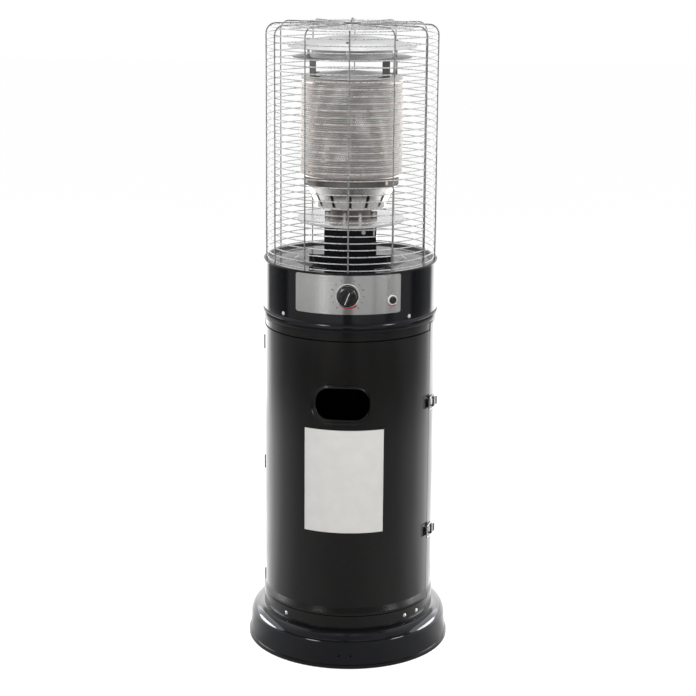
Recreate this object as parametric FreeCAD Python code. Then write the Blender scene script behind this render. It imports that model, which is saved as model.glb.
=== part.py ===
import FreeCAD, Part
import math
import os
from FreeCAD import Vector

# Cylinder patio heater that stands on the ground and hides its gas bottle.
# Millimetres. Origin at the centre of the base on the ground, +Z up, front towards -Y, +X to the right.
# Azimuth is measured in degrees from the front, positive towards +X.

# Sheet metal and fits
sheet = 1.2
plate_sheet = 0.8
running_clearance = 0.05
cut_margin = 5.0
face_gap = 0.1
door_gap = 2.0
seam_half_gap = 1.5

# Base
edge_trim_height = 7.0
edge_trim_overhang = 2.5
edge_trim_wall = 2.0
skirt_flare = 3.0
skirt_height = 50.0
shoulder_radius = 27.0
base_ledge = 2.1
base_sheet = 1.5
base_foot_level = 0.5
base_flange_width = 34.0
base_hole_radius = 2.2
base_hole_spacing = 25.0
base_hole_height = 28.0
platform_drop = 6.0
platform_rim = 16.0
platform_clearance = 1.0
collar_height = 28.5
collar_foot_width = 12.0

# Body panels
body_radius = 184.5
body_top = 728.0
bead_flare = 3.5
bead_height = 12.0
bead_band = 5.0
door_left_azimuth = -87.0
door_right_azimuth = 70.0
door_top = 713.0
door_flange = 9.0
post_azimuths = (100.0, 180.0, 243.0)
post_width = 30.0
post_depth = 12.0
post_sheet = 2.0
top_ring_foot = 8.0
edge_slot_azimuth = 82.0
edge_slot_width = 3.0
edge_slot_height = 36.0
edge_slot_levels = (155.0, 645.0)

# Hand opening and blank label on the door
opening_azimuth = -3.1
opening_level = 578.0
opening_width = 115.0
opening_height = 69.0
opening_corner = 30.0
opening_lip_left = 10.5
opening_lip_right = 2.5
opening_lip_top = 11.0
opening_lip_corner = 7.0
opening_lip_depth = 4.0
label_azimuth = -2.0
label_half_angle = 26.9
label_bottom = 295.0
label_top = 522.0
label_sheet = 0.3

# Door hinges
hinge_levels = (131.0, 397.0, 670.0)
hinge_height = 30.0
hinge_knuckle_radius = 3.0
hinge_pin_radius = 1.5
hinge_leaf_sheet = 1.4
hinge_leaf_length = 22.0
hinge_knuckle_length = 9.6
hinge_knuckle_gap = 0.4
hinge_notch_reach = 4.0
hinge_end_clearance = 1.0
hinge_link_overlap = 2.0
hinge_link_gap = 0.5
hinge_link_rise = 0.5
bead_notch_reach = 7.5

# Draw latches, measured sideways from the seam and outwards from the body
latch_levels = (263.0, 554.0)
latch_plate_sheet = 1.5
latch_plate_start = 3.0
latch_plate_length = 21.0
latch_pivot_side = 9.0
latch_pivot_rise = 6.0
latch_pin_radius = 1.5
latch_ear_reach = 10.5
latch_ear_sheet = 1.4
latch_ear_half_length = 4.0
latch_cheek_reach = 8.7
latch_cheek_sheet = 1.3
latch_cheek_drop = 2.5
latch_cheek_lead = 1.0
latch_lever_length = 14.0
latch_lever_rise = 7.8
latch_lever_tip = 2.4
bail_pivot_side = 16.0
bail_pivot_rise = 5.0
bail_wire_radius = 1.2
bail_reach = 13.0
bail_tip_side = -15.0
bail_tip_rise = 6.4
catch_near = -8.0
catch_far = -18.5
catch_reach = 10.0
catch_lip_side = -12.5
catch_lip_width = 2.0
catch_lip_inset = 1.0
catch_lip_rise = 4.2

# Control housing
housing_step = 2.5
housing_bottom = 734.0
housing_top = 858.5
housing_bead_flare = 3.5
housing_bead_band = 9.0
housing_bead_height = 9.0
floor_hose_hole = 25.0
top_plate_rim_width = 9.0
top_plate_slope_width = 8.0
top_plate_channel_width = 48.0
top_plate_crown_slope = 10.0
top_plate_channel_depth = 4.0
top_plate_hole = 24.0
control_plate_half_width = 109.0
control_plate_bottom = 773.0
control_plate_top = 855.0
control_plate_corner = 5.0
housing_screw_azimuths = (-47.0, 43.0, 133.0, 223.0)
housing_screw_level = 760.5
top_screw_azimuths = (-32.0, 32.0, 148.0, 212.0)
top_screw_inset = 20.0
collar_screw_azimuths = (-44.0, 43.0, 55.0) + post_azimuths
collar_screw_level = 91.0
screw_head_radius = 3.6
screw_head_height = 2.2
screw_shank_radius = 1.6
screw_shank_length = 5.0

# Controls
knob_level = 813.5
knob_radius = 22.0
knob_skirt_depth = 7.0
knob_crown_radius = 18.5
knob_shoulder = 1.5
knob_grip_taper = 3.0
knob_depth = 20.0
knob_grip_width = 11.0
knob_grip_depth = 27.0
knob_stand_off = 5.0
knob_pointer_angle = 22.0
knob_travel = 3.5
knob_stop_gap = 0.5
valve_stem_radius = 4.0
valve_stem_hole = 6.0
valve_plug_radius = 7.0
valve_plug_depth = 15.0
valve_plug_reach = 5.0
valve_plug_floor = 0.2
valve_half_width = 23.0
valve_half_height = 15.0
valve_depth = 34.0
valve_setback = 16.0
button_azimuth = 29.4
button_level = 800.5
button_radius = 6.6
button_depth = 4.5
button_length = 28.0
button_travel = 4.0
button_stop_gap = 1.0
igniter_flange_radius = 10.5
igniter_flange_sheet = 1.5
igniter_neck_radius = 8.0
igniter_body_radius = 10.0
igniter_body_length = 46.0

# Gas path
inlet_hex_radius = 9.0
inlet_hex_length = 14.0
hose_tail_radius = 5.0
hose_tail_length = 24.0
supply_pipe_radius = 4.0
supply_pipe_drop = 7.0
supply_bend_radius = 16.0
orifice_bottom = 846.0
orifice_top = 866.0
orifice_radius = 8.0
venturi_radius = 15.0
venturi_wall = 1.5
venturi_window = 12.0
tilt_switch_size = 22.0
tilt_switch_azimuth = 140.0
tilt_switch_circle = 120.0

# Burner
plinth_half_width = 88.0
plinth_front = 50.0
plinth_back = 44.0
plinth_height = 14.0
plinth_corner = 14.0
neck_half_width = 55.5
neck_half_depth = 38.0
neck_height = 71.5
neck_hole_radius = 4.5
neck_hole_side = 28.0
neck_hole_level = 918.0
neck_slot_side = 48.5
neck_slot_width = 4.0
neck_slot_bottom = 912.0
neck_slot_top = 930.0
heat_disc_radius = 115.0
heat_disc_lip = 5.0
burner_cup_inset = 29.0
burner_cup_height = 26.0
lug_reach = 11.0
lug_height = 13.0
lug_sheet = 2.0
lug_nut_radius = 5.0
lug_nut_length = 3.5
cone_foot_radius = 74.0
cone_rim_radius = 98.0
cone_height = 48.0
cone_slit_count = 14
cone_rim_width = 1.8
cone_slit_width = 4.2
cone_slit_foot = 5.2
cone_slit_top = 34.0
burner_head_inset = 16.0
burner_head_height = 9.0
electrode_radius = 1.6
electrode_offset = 26.0

# Emitter and reflectors
emitter_ring_step = 3.0
emitter_ring_height = 18.5
emitter_ring_foot = 8.0
emitter_sheet = 1.0
emitter_bulge = 7.0
emitter_rim_step = 0.5
emitter_height = 209.5
emitter_taper = 6.5
emitter_lid_rise = 8.5
emitter_lid_flat_width = 17.5
emitter_lid_top = 20.0
emitter_screw_azimuths = (-67.0, 49.0, 150.0, 215.0)
emitter_screw_rise = 9.0
reflector_post_azimuths = (-55.5, 48.5, 110.5, 242.5)
reflector_post_inset = 5.5
reflector_post_width = 22.0
reflector_post_height = 37.0
reflector_post_foot = 11.0
reflector_post_sheet = 1.5
lower_brim_overhang = 30.0
lower_crown_inset = 8.0
lower_crown_taper = 4.0
lower_reflector_rise = 16.0
upper_brim_overhang = 9.5
upper_reflector_gap = 6.0
upper_ridge_inset = 35.5
upper_reflector_ridge_rise = 11.0
upper_reflector_crown = 50.0
upper_reflector_crown_rise = 19.0
upper_reflector_rise = 21.5
reflector_spacer_azimuths = (-94.0, -4.0, 86.0, 176.0)
reflector_spacer_offset = 5.0
reflector_spacer_radius = 3.0

# Wire guard
guard_inset = 6.0
guard_upright_count = 12
guard_upright_sides = 8
guard_upright_radius = 1.8
guard_ring_wire = 1.2
guard_ring_count = 35
guard_ring_pitch = 14.3
guard_first_ring = 4.2
guard_ring_sides = 24
guard_top_level = 1355.0
guard_bend_radius = 22.0
guard_weld_depth = 0.3
guard_top_ring_count = 6
guard_top_ring_inset = 27.0
guard_top_ring_pitch = 24.5
guard_hub_radius = 18.0
guard_hub_sheet = 2.0
guard_wire_end = 7.5
guard_hub_screw_radius = 3.0
guard_hub_head_radius = 5.0
guard_hub_head_height = 3.0
finial_top = 1367.0
finial_radius = 2.5

# Levels and radii that follow from the sizes above
bead_radius = body_radius + bead_flare
collar_radius = bead_radius - sheet / 2
base_neck_radius = collar_radius + base_ledge
base_flange_inner = base_neck_radius - base_flange_width
skirt_radius = base_neck_radius + shoulder_radius
skirt_foot_radius = skirt_radius + skirt_flare
base_radius = skirt_foot_radius + edge_trim_overhang
base_top = skirt_height + shoulder_radius
collar_top = base_top + collar_height
door_bottom = collar_top + door_gap
body_inner = body_radius - sheet
top_ring_bottom = door_top + door_gap
floor_level = housing_bottom + sheet
hinge_axis_radius = body_radius - sheet / 2
seam_half_angle = math.degrees(seam_half_gap / body_radius)
housing_radius = body_radius + housing_step
housing_bead_radius = housing_radius + housing_bead_flare
drum_inner = housing_radius - sheet
top_plate_rim = housing_radius - top_plate_rim_width
top_plate_channel_outer = top_plate_rim - top_plate_slope_width
top_plate_channel_inner = top_plate_channel_outer - top_plate_channel_width
top_plate_crown = top_plate_channel_inner - top_plate_crown_slope
top_screw_circle = top_plate_channel_outer - top_screw_inset
plate_level = housing_top - sheet
plinth_top = housing_top + plinth_height
neck_top = plinth_top + neck_height
disc_top = neck_top + sheet
burner_cup_radius = cone_foot_radius - burner_cup_inset
lug_side = burner_cup_radius + lug_reach / 2
burner_head_radius = cone_rim_radius - burner_head_inset
emitter_ring_radius = cone_rim_radius + emitter_ring_step
emitter_rim_radius = emitter_ring_radius + emitter_rim_step
emitter_radius = emitter_rim_radius + emitter_bulge
emitter_lid_flat = emitter_rim_radius - emitter_lid_flat_width
reflector_post_circle = emitter_rim_radius - reflector_post_inset
lower_reflector_radius = reflector_post_circle + lower_brim_overhang
lower_crown_foot = reflector_post_circle - lower_crown_inset
lower_crown_radius = lower_crown_foot - lower_crown_taper
upper_reflector_radius = lower_reflector_radius + upper_brim_overhang
upper_reflector_ridge = upper_reflector_radius - upper_ridge_inset
reflector_spacer_circle = lower_crown_foot + reflector_spacer_offset
guard_radius = housing_radius - guard_inset
cone_foot_level = disc_top + burner_cup_height
cone_rim_level = cone_foot_level + cone_height
emitter_foot_level = cone_rim_level + emitter_ring_height
emitter_top_level = emitter_foot_level + emitter_height
lid_flat_level = emitter_top_level + sheet
lower_reflector_level = lid_flat_level + reflector_post_height
lower_crown_level = lower_reflector_level + sheet + lower_reflector_rise
upper_reflector_level = lower_crown_level + upper_reflector_gap
control_face = housing_radius + plate_sheet
valve_face = drum_inner - valve_setback
valve_back = valve_face - valve_depth
knob_back = control_face + knob_stand_off

QUARTER_MIDDLE = 45.0
HEXAGON = 6
LENGTH_TOLERANCE = 1e-6
Z_AXIS = Vector(0, 0, 1)
ORIGIN = Vector(0, 0, 0)


def save(node, *shapes):
    """Write one node; several shapes stay separate solids in the same file."""
    shape = shapes[0] if len(shapes) == 1 else Part.makeCompound(list(shapes))
    shape.exportStep(f"parts/{node}.step")


def turned(shape, azimuth):
    """A piece drawn at the front, swung round the heater's axis to an azimuth."""
    copy = shape.copy()
    copy.rotate(ORIGIN, Z_AXIS, azimuth)
    return copy


def spread(shape, azimuths):
    """The same piece at several azimuths."""
    return [turned(shape, azimuth) for azimuth in azimuths]


def lifted(shape, height):
    """A copy raised by a height."""
    copy = shape.copy()
    copy.translate(Vector(0, 0, height))
    return copy


def arc_angle(length):
    """Degrees that a length along the body's outer face takes."""
    return math.degrees(length / body_radius)


def on_arc(centre, radius, degrees):
    """Point of a circle in a plane, degrees from that plane's first direction."""
    angle = math.radians(degrees)
    return (centre[0] + radius * math.cos(angle), centre[1] + radius * math.sin(angle))


def profile_face(points):
    """Face in the plane of radius and height; an entry with four numbers is an arc by its middle."""
    edges = []
    last = points[0][-2:]
    for entry in points[1:] + points[:1]:
        start = Vector(last[0], 0, last[1])
        end = Vector(entry[-2], 0, entry[-1])
        if len(entry) == 4:
            middle = Vector(entry[0], 0, entry[1])
            edges.append(Part.Arc(start, middle, end).toShape())
        else:
            edges.append(Part.makeLine(start, end))
        last = entry[-2:]
    return Part.Face(Part.Wire(edges))


def revolved(points, start=-180.0, end=180.0):
    """Solid of revolution of a profile between two azimuths."""
    face = profile_face(points)
    face.rotate(ORIGIN, Z_AXIS, start - 90.0)
    return face.revolve(ORIGIN, Z_AXIS, end - start)


def tube(outer, inner, bottom, top, start=-180.0, end=180.0):
    """Plain ring or ring sector."""
    return revolved([(outer, bottom), (outer, top), (inner, top), (inner, bottom)], start, end)


def slab(x_from, x_to, r_from, r_to, bottom, top):
    """Box drawn at the front: sideways from x_from to x_to, outwards from r_from to r_to."""
    return Part.makeBox(x_to - x_from, r_to - r_from, top - bottom, Vector(x_from, -r_to, bottom))


def peg(radius, r_from, r_to, x=0.0, z=0.0):
    """Cylinder drawn at the front that points outwards from r_from to r_to."""
    return Part.makeCylinder(radius, r_to - r_from, Vector(x, -r_from, z), Vector(0, -1, 0))


def rod(radius, bottom, top, x=0.0, r=0.0):
    """Upright cylinder drawn at the front, at a sideways place and a distance from the axis."""
    return Part.makeCylinder(radius, top - bottom, Vector(x, -r, bottom))


def regular_face(radius, sides, level=0.0):
    """Level face with a regular outline, corners at the given radius and one corner at the front."""
    corners = []
    for index in range(sides):
        angle = math.radians(360.0 * index / sides - 90.0)
        corners.append(Vector(radius * math.cos(angle), radius * math.sin(angle), level))
    return Part.Face(Part.makePolygon(corners + corners[:1]))


def regular_prism(radius, sides, bottom, top):
    """Upright prism with a regular outline."""
    return regular_face(radius, sides, bottom).extrude(Vector(0, 0, top - bottom))


def rounded_block(x_from, x_to, y_from, y_to, corner, bottom, top):
    """Upright block whose four standing edges are rounded."""
    block = Part.makeBox(x_to - x_from, y_to - y_from, top - bottom, Vector(x_from, y_from, bottom))
    standing = [edge for edge in block.Edges if edge.BoundBox.ZLength > top - bottom - LENGTH_TOLERANCE]
    return block.makeFillet(corner, standing)


def front_block(half_width, bottom, top, corner, r_from, r_to):
    """Block seen from the front as a rounded rectangle, outwards from r_from to r_to."""
    block = rounded_block(-half_width, half_width, bottom, top, corner, r_from, r_to)
    block.rotate(ORIGIN, Vector(1, 0, 0), 90)
    return block


def screw():
    """Sheet metal screw along +Z, with the underside of its head at zero."""
    head = regular_prism(screw_head_radius, HEXAGON, 0, screw_head_height)
    shank = regular_prism(screw_shank_radius, HEXAGON, -screw_shank_length, 0)
    return head.fuse(shank).removeSplitter()


def radial_screws(azimuths, radius, level):
    """Screws that point inwards, their heads on a wall of the given radius."""
    piece = screw()
    piece.rotate(ORIGIN, Vector(1, 0, 0), 90)
    piece.translate(Vector(0, -radius, level))
    return spread(piece, azimuths)


def standing_screws(azimuths, circle, level):
    """Screws that point down, their heads on the given level."""
    piece = screw()
    piece.translate(Vector(0, -circle, level))
    return spread(piece, azimuths)


# Base

def make_base():
    """Pressed base, its edge trim, the bottle platform and the collar under the body."""
    shoulder_centre = (base_neck_radius, skirt_height)
    inner_shoulder = shoulder_radius - base_sheet
    shell = revolved([
        (skirt_foot_radius, base_foot_level),
        (skirt_radius, skirt_height),
        on_arc(shoulder_centre, shoulder_radius, QUARTER_MIDDLE) + (base_neck_radius, base_top),
        (base_flange_inner, base_top),
        (base_flange_inner, base_top - base_sheet),
        (base_neck_radius, base_top - base_sheet),
        on_arc(shoulder_centre, inner_shoulder, QUARTER_MIDDLE) + (skirt_radius - base_sheet, skirt_height),
        (skirt_foot_radius - base_sheet, base_foot_level),
    ])
    for side in (-1, 1):
        shell = shell.cut(peg(base_hole_radius, skirt_radius - cut_margin, skirt_foot_radius + cut_margin,
                              side * base_hole_spacing / 2, base_hole_height))
    save("base_shell", shell)

    skirt_slope = (skirt_foot_radius - skirt_radius) / (skirt_height - base_foot_level)
    skirt_at_trim = skirt_foot_radius - skirt_slope * (edge_trim_height - base_foot_level)
    trim = revolved([
        (base_radius, 0),
        (base_radius, edge_trim_height),
        (skirt_at_trim, edge_trim_height),
        (skirt_foot_radius, base_foot_level),
        (skirt_foot_radius - base_sheet - edge_trim_wall, base_foot_level),
        (skirt_foot_radius - base_sheet - edge_trim_wall, 0),
    ])
    save("base_edge_trim", trim)

    dish_radius = base_flange_inner - platform_clearance
    platform_level = base_top - platform_drop
    platform = revolved([
        (base_flange_inner + platform_rim, base_top),
        (base_flange_inner + platform_rim, base_top + sheet),
        (dish_radius - sheet, base_top + sheet),
        (dish_radius - sheet, platform_level),
        (0, platform_level),
        (0, platform_level - sheet),
        (dish_radius, platform_level - sheet),
        (dish_radius, base_top),
    ])
    save("bottle_platform", platform)

    collar_inner = collar_radius - sheet
    collar = revolved([
        (collar_radius, base_top),
        (collar_radius, collar_top),
        (collar_inner, collar_top),
        (collar_inner, base_top + sheet),
        (collar_radius - collar_foot_width, base_top + sheet),
        (collar_radius - collar_foot_width, base_top),
    ])
    save("lower_collar", collar)
    save("collar_screws", *radial_screws(collar_screw_azimuths, collar_radius, collar_screw_level))


# Body

def panel_profile(bottom, top):
    """Section of a body panel: straight wall with a flared bead along its lower edge."""
    band_top = bottom + bead_band
    bead_top = band_top + bead_height
    return [
        (body_radius, top),
        (body_radius, bead_top),
        (bead_radius, band_top),
        (bead_radius, bottom),
        (bead_radius - sheet, bottom),
        (bead_radius - sheet, band_top),
        (body_inner, bead_top),
        (body_inner, top),
    ]


def hinge_notch(level):
    """Space that the knuckles of one hinge need in the sheets on both sides of the seam."""
    half = hinge_height / 2 + hinge_end_clearance
    notch = slab(-hinge_notch_reach, hinge_notch_reach, body_inner - cut_margin, bead_radius + cut_margin,
                 level - half, level + half)
    return turned(notch, door_left_azimuth)


def bead_notch():
    """Space beside the hinge seam where the flared beads stop, so that the door can swing out."""
    notch = slab(-bead_notch_reach, bead_notch_reach, body_inner - cut_margin, bead_radius + cut_margin,
                 collar_top, door_bottom + bead_band + bead_height)
    return turned(notch, door_left_azimuth)


def make_body():
    """Rear shell, the posts inside it and the ring that carries the control housing."""
    shell = revolved(panel_profile(collar_top, body_top),
                     door_right_azimuth + seam_half_angle, door_left_azimuth + 360 - seam_half_angle)
    shell = shell.cut(bead_notch())
    for level in hinge_levels:
        shell = shell.cut(hinge_notch(level))
    for level in edge_slot_levels:
        slot = slab(-edge_slot_width / 2, edge_slot_width / 2,
                    body_inner - cut_margin, body_radius + cut_margin,
                    level - edge_slot_height / 2, level + edge_slot_height / 2)
        shell = shell.cut(turned(slot, edge_slot_azimuth))
    save("body_shell", shell)

    half = post_width / 2
    back = math.sqrt(body_inner ** 2 - half ** 2)
    post_bottom = base_top + sheet
    web = slab(-half, half, back - post_sheet, back, post_bottom, top_ring_bottom)
    left_flange = slab(-half, post_sheet - half, back - post_depth, back, post_bottom, top_ring_bottom)
    right_flange = slab(half - post_sheet, half, back - post_depth, back, post_bottom, top_ring_bottom)
    post = web.fuse([left_flange, right_flange]).removeSplitter()
    save("support_posts", *spread(post, post_azimuths))

    ring = revolved([
        (body_inner, top_ring_bottom),
        (body_inner, floor_level),
        (body_inner - sheet, floor_level),
        (body_inner - sheet, top_ring_bottom + sheet),
        (body_inner - top_ring_foot, top_ring_bottom + sheet),
        (body_inner - top_ring_foot, top_ring_bottom),
    ])
    save("body_top_ring", ring)


# Door

def make_door():
    """Curved door with a hand opening, a blank label, hinge leaves and latch catches."""
    left = door_left_azimuth + seam_half_angle
    right = door_right_azimuth - seam_half_angle
    panel = revolved(panel_profile(door_bottom, door_top), left, right)
    flange_left = left + arc_angle(2 * hinge_notch_reach)
    flange_inner = body_inner - door_flange
    top_flange = tube(body_inner, flange_inner, door_top - sheet, door_top, flange_left, right)
    side_flange = tube(body_inner, flange_inner, door_bottom + bead_band + bead_height, door_top,
                       right - arc_angle(sheet), right)
    panel = panel.fuse([top_flange, side_flange]).cut(bead_notch())
    for level in hinge_levels:
        panel = panel.cut(hinge_notch(level))

    lip_width = (opening_width + opening_lip_left + opening_lip_right) / 2
    lip_shift = Vector((opening_lip_right - opening_lip_left) / 2, 0, 0)
    lip_height = opening_height / 2 + opening_lip_top
    lip_corner = opening_corner + opening_lip_corner
    tray_inner = body_radius - opening_lip_depth
    lip_reach = opening_width / 2 + opening_lip_left
    outside = body_radius + cut_margin
    inside = math.sqrt((tray_inner - sheet) ** 2 - lip_reach ** 2) - cut_margin
    lip_plug = front_block(lip_width, opening_level - lip_height, opening_level + lip_height,
                           lip_corner, inside, outside)
    lip_plug.translate(lip_shift)
    recess_plug = front_block(lip_width - sheet, opening_level - lip_height + sheet,
                              opening_level + lip_height - sheet, lip_corner - sheet, inside, outside)
    recess_plug.translate(lip_shift)
    hole_plug = front_block(opening_width / 2, opening_level - opening_height / 2,
                            opening_level + opening_height / 2, opening_corner, inside, outside)
    opening_band = (opening_level - lip_height - cut_margin, opening_level + lip_height + cut_margin)
    tray = tube(body_radius, tray_inner - sheet, *opening_band).common(lip_plug)
    recess = tube(outside, tray_inner, *opening_band).common(recess_plug)
    tray = tray.cut(recess).cut(hole_plug)
    panel = panel.cut(turned(lip_plug, opening_azimuth)).fuse(turned(tray, opening_azimuth))
    save("door_panel", panel.removeSplitter())

    label = tube(body_radius + label_sheet, body_radius + face_gap, label_bottom, label_top,
                 label_azimuth - label_half_angle, label_azimuth + label_half_angle)
    save("door_blank_label", label)


def knuckle(bottom, top, side, bore):
    """Rolled part of a hinge leaf with its link to the leaf, on one side of the pin."""
    barrel = rod(hinge_knuckle_radius, bottom, top, r=hinge_axis_radius)
    reach = sorted((0, side * (hinge_notch_reach + hinge_link_overlap)))
    link = slab(reach[0], reach[1], body_inner - hinge_leaf_sheet, hinge_axis_radius - hinge_link_rise,
                bottom, top)
    link = link.cut(slab(reach[0], reach[1], body_inner - 2 * face_gap, body_radius, bottom, top))
    hole = rod(bore, bottom, top, r=hinge_axis_radius)
    return barrel.fuse(link).cut(hole)


def make_hinges():
    """Three door hinges: leaves inside the sheets, knuckles in the seam and fixed pins."""
    half = hinge_height / 2
    link_end = arc_angle(hinge_notch_reach + hinge_link_gap)
    leaf_end = arc_angle(hinge_leaf_length)
    leaf_outer = body_inner - face_gap
    leaf_inner = body_inner - hinge_leaf_sheet
    door_half = hinge_knuckle_length / 2
    body_start = door_half + hinge_knuckle_gap
    door_leaves = []
    body_leaves = []
    pins = []
    for level in hinge_levels:
        leaf = tube(leaf_outer, leaf_inner, level - half, level + half, link_end, leaf_end)
        middle = knuckle(level - door_half, level + door_half, 1, hinge_pin_radius + running_clearance)
        door_leaves.append(turned(leaf.fuse(middle).removeSplitter(), door_left_azimuth))
        leaf = tube(leaf_outer, leaf_inner, level - half, level + half, -leaf_end, -link_end)
        lower = knuckle(level - half, level - body_start, -1, hinge_pin_radius)
        upper = knuckle(level + body_start, level + half, -1, hinge_pin_radius)
        body_leaves.append(turned(leaf.fuse([lower, upper]).removeSplitter(), door_left_azimuth))
        pin = rod(hinge_pin_radius, level - half, level + half, r=hinge_axis_radius)
        pins.append(turned(pin, door_left_azimuth))
    save("door_hinge_leaves", *door_leaves)
    save("body_hinge_leaves", *body_leaves)
    save("hinge_pins", *pins)


def make_latch_base():
    """Fixed plate of a draw latch with its two ears and the lever's pin."""
    plate = tube(body_radius + latch_plate_sheet, body_radius, -latch_ear_reach, latch_ear_reach,
                 arc_angle(latch_plate_start), arc_angle(latch_plate_start + latch_plate_length))
    pivot_radius = body_radius + latch_pivot_rise
    pieces = []
    ear_start = latch_pivot_side - latch_ear_half_length
    ear_end = latch_pivot_side + latch_ear_half_length
    for side in (-1, 1):
        span = sorted((side * latch_ear_reach, side * (latch_ear_reach - latch_ear_sheet)))
        pieces.append(slab(ear_start, ear_end, body_radius + latch_plate_sheet / 2,
                           pivot_radius + 2 * latch_pin_radius, span[0], span[1]))
    pieces.append(rod(latch_pin_radius, -latch_ear_reach, latch_ear_reach, latch_pivot_side, pivot_radius))
    return plate.fuse(pieces).removeSplitter()


def make_latch_lever():
    """Lever of a draw latch: a plate with two cheeks that hold the pin and the bail."""
    pivot_radius = body_radius + latch_pivot_rise
    bail_radius = body_radius + bail_pivot_rise
    plate_radius = body_radius + latch_lever_rise
    start = latch_pivot_side - 2 * latch_pin_radius
    lever_end = latch_pivot_side + latch_lever_length
    top = slab(start + latch_cheek_lead, lever_end, plate_radius, plate_radius + latch_cheek_sheet,
               -latch_cheek_reach, latch_cheek_reach)
    tip = slab(lever_end - latch_cheek_sheet, lever_end, plate_radius, plate_radius + latch_lever_tip,
               -latch_cheek_reach, latch_cheek_reach)
    pieces = [tip]
    for side in (-1, 1):
        span = sorted((side * latch_cheek_reach, side * (latch_cheek_reach - latch_cheek_sheet)))
        pieces.append(slab(start, bail_pivot_side + 2 * bail_wire_radius, pivot_radius - latch_cheek_drop,
                           plate_radius, span[0], span[1]))
    lever = top.fuse(pieces)
    pin_bore = rod(latch_pin_radius + running_clearance, -latch_cheek_reach, latch_cheek_reach,
                   latch_pivot_side, pivot_radius)
    bail_bore = rod(bail_wire_radius + running_clearance, -latch_cheek_reach, latch_cheek_reach,
                    bail_pivot_side, bail_radius)
    return lever.cut(pin_bore).cut(bail_bore).removeSplitter()


def make_bail():
    """Wire loop of a draw latch, from its pivot in the lever to the bar beyond the catch."""
    start = Vector(bail_pivot_side, -body_radius - bail_pivot_rise, 0)
    end = Vector(bail_tip_side, -body_radius - bail_tip_rise, 0)
    along = end - start
    pivot_bar = Part.makeCylinder(bail_wire_radius, 2 * bail_reach, start - Vector(0, 0, bail_reach))
    front_bar = Part.makeCylinder(bail_wire_radius, 2 * bail_reach, end - Vector(0, 0, bail_reach))
    pieces = [front_bar]
    for side in (-1, 1):
        corner = Vector(0, 0, side * bail_reach)
        pieces.append(Part.makeCylinder(bail_wire_radius, along.Length, start + corner, along))
        pieces.append(Part.makeSphere(bail_wire_radius, start + corner))
        pieces.append(Part.makeSphere(bail_wire_radius, end + corner))
    return pivot_bar.fuse(pieces).removeSplitter()


def make_catch():
    """Catch plate on the door's edge, with the lip that the bail reaches over."""
    plate = tube(body_radius + latch_plate_sheet, body_radius, -catch_reach, catch_reach,
                 arc_angle(catch_far), arc_angle(catch_near))
    lip = slab(catch_lip_side - catch_lip_width / 2, catch_lip_side + catch_lip_width / 2,
               body_radius, body_radius + catch_lip_rise,
               catch_lip_inset - catch_reach, catch_reach - catch_lip_inset)
    return plate.fuse(lip).removeSplitter()


def make_latches():
    """Two draw latches that hold the door's free edge."""
    places = (("lower", latch_levels[0]), ("upper", latch_levels[1]))
    base = turned(make_latch_base(), door_right_azimuth)
    catch = turned(make_catch(), door_right_azimuth)
    save("latch_bases", *[lifted(base, level) for _, level in places])
    save("door_catches", *[lifted(catch, level) for _, level in places])
    for name, level in places:
        save(f"{name}_latch_lever", lifted(turned(make_latch_lever(), door_right_azimuth), level))
        save(f"{name}_latch_bail", lifted(turned(make_bail(), door_right_azimuth), level))


# Control housing

def make_housing():
    """Black drum with a flared bead, its floor, the dished top plate and the screws."""
    band_top = housing_bottom + housing_bead_band
    bead_top = band_top + housing_bead_height
    drum = revolved([
        (housing_radius, plate_level),
        (housing_radius, bead_top),
        (housing_bead_radius, band_top),
        (housing_bead_radius, housing_bottom),
        (housing_bead_radius - sheet, housing_bottom),
        (housing_bead_radius - sheet, band_top),
        (drum_inner, bead_top),
        (drum_inner, plate_level),
    ])
    stem_hole = peg(valve_stem_hole, drum_inner - cut_margin, control_face + cut_margin, z=knob_level)
    igniter_hole = peg(igniter_neck_radius + face_gap, drum_inner - cut_margin, control_face + cut_margin,
                       z=button_level)
    igniter_hole = turned(igniter_hole, button_azimuth)
    save("housing_drum", drum.cut(stem_hole).cut(igniter_hole))

    plate = front_block(control_plate_half_width, control_plate_bottom, control_plate_top,
                        control_plate_corner, 0, control_face + cut_margin)
    plate = plate.common(tube(control_face, housing_radius, control_plate_bottom, control_plate_top))
    save("control_plate", plate.cut(stem_hole).cut(igniter_hole))

    hose_way = rod(floor_hose_hole, floor_level, floor_level + sheet, r=valve_back + valve_depth / 2)
    floor = Part.makeCylinder(housing_bead_radius - sheet, sheet, Vector(0, 0, floor_level))
    save("housing_floor", floor.cut(hose_way))

    channel_level = housing_top - top_plate_channel_depth
    plate = revolved([
        (housing_radius, housing_top),
        (top_plate_rim, housing_top),
        (top_plate_channel_outer, channel_level),
        (top_plate_channel_inner, channel_level),
        (top_plate_crown, housing_top),
        (top_plate_hole, housing_top),
        (top_plate_hole, plate_level),
        (top_plate_crown, plate_level),
        (top_plate_channel_inner, channel_level - sheet),
        (top_plate_channel_outer, channel_level - sheet),
        (top_plate_rim, plate_level),
        (housing_radius, plate_level),
    ])
    save("housing_top_plate", plate)
    drum_screws = radial_screws(housing_screw_azimuths, housing_radius, housing_screw_level)
    save("housing_screws", *drum_screws)
    save("top_plate_screws", *standing_screws(top_screw_azimuths, top_screw_circle, channel_level))


# Controls

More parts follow.
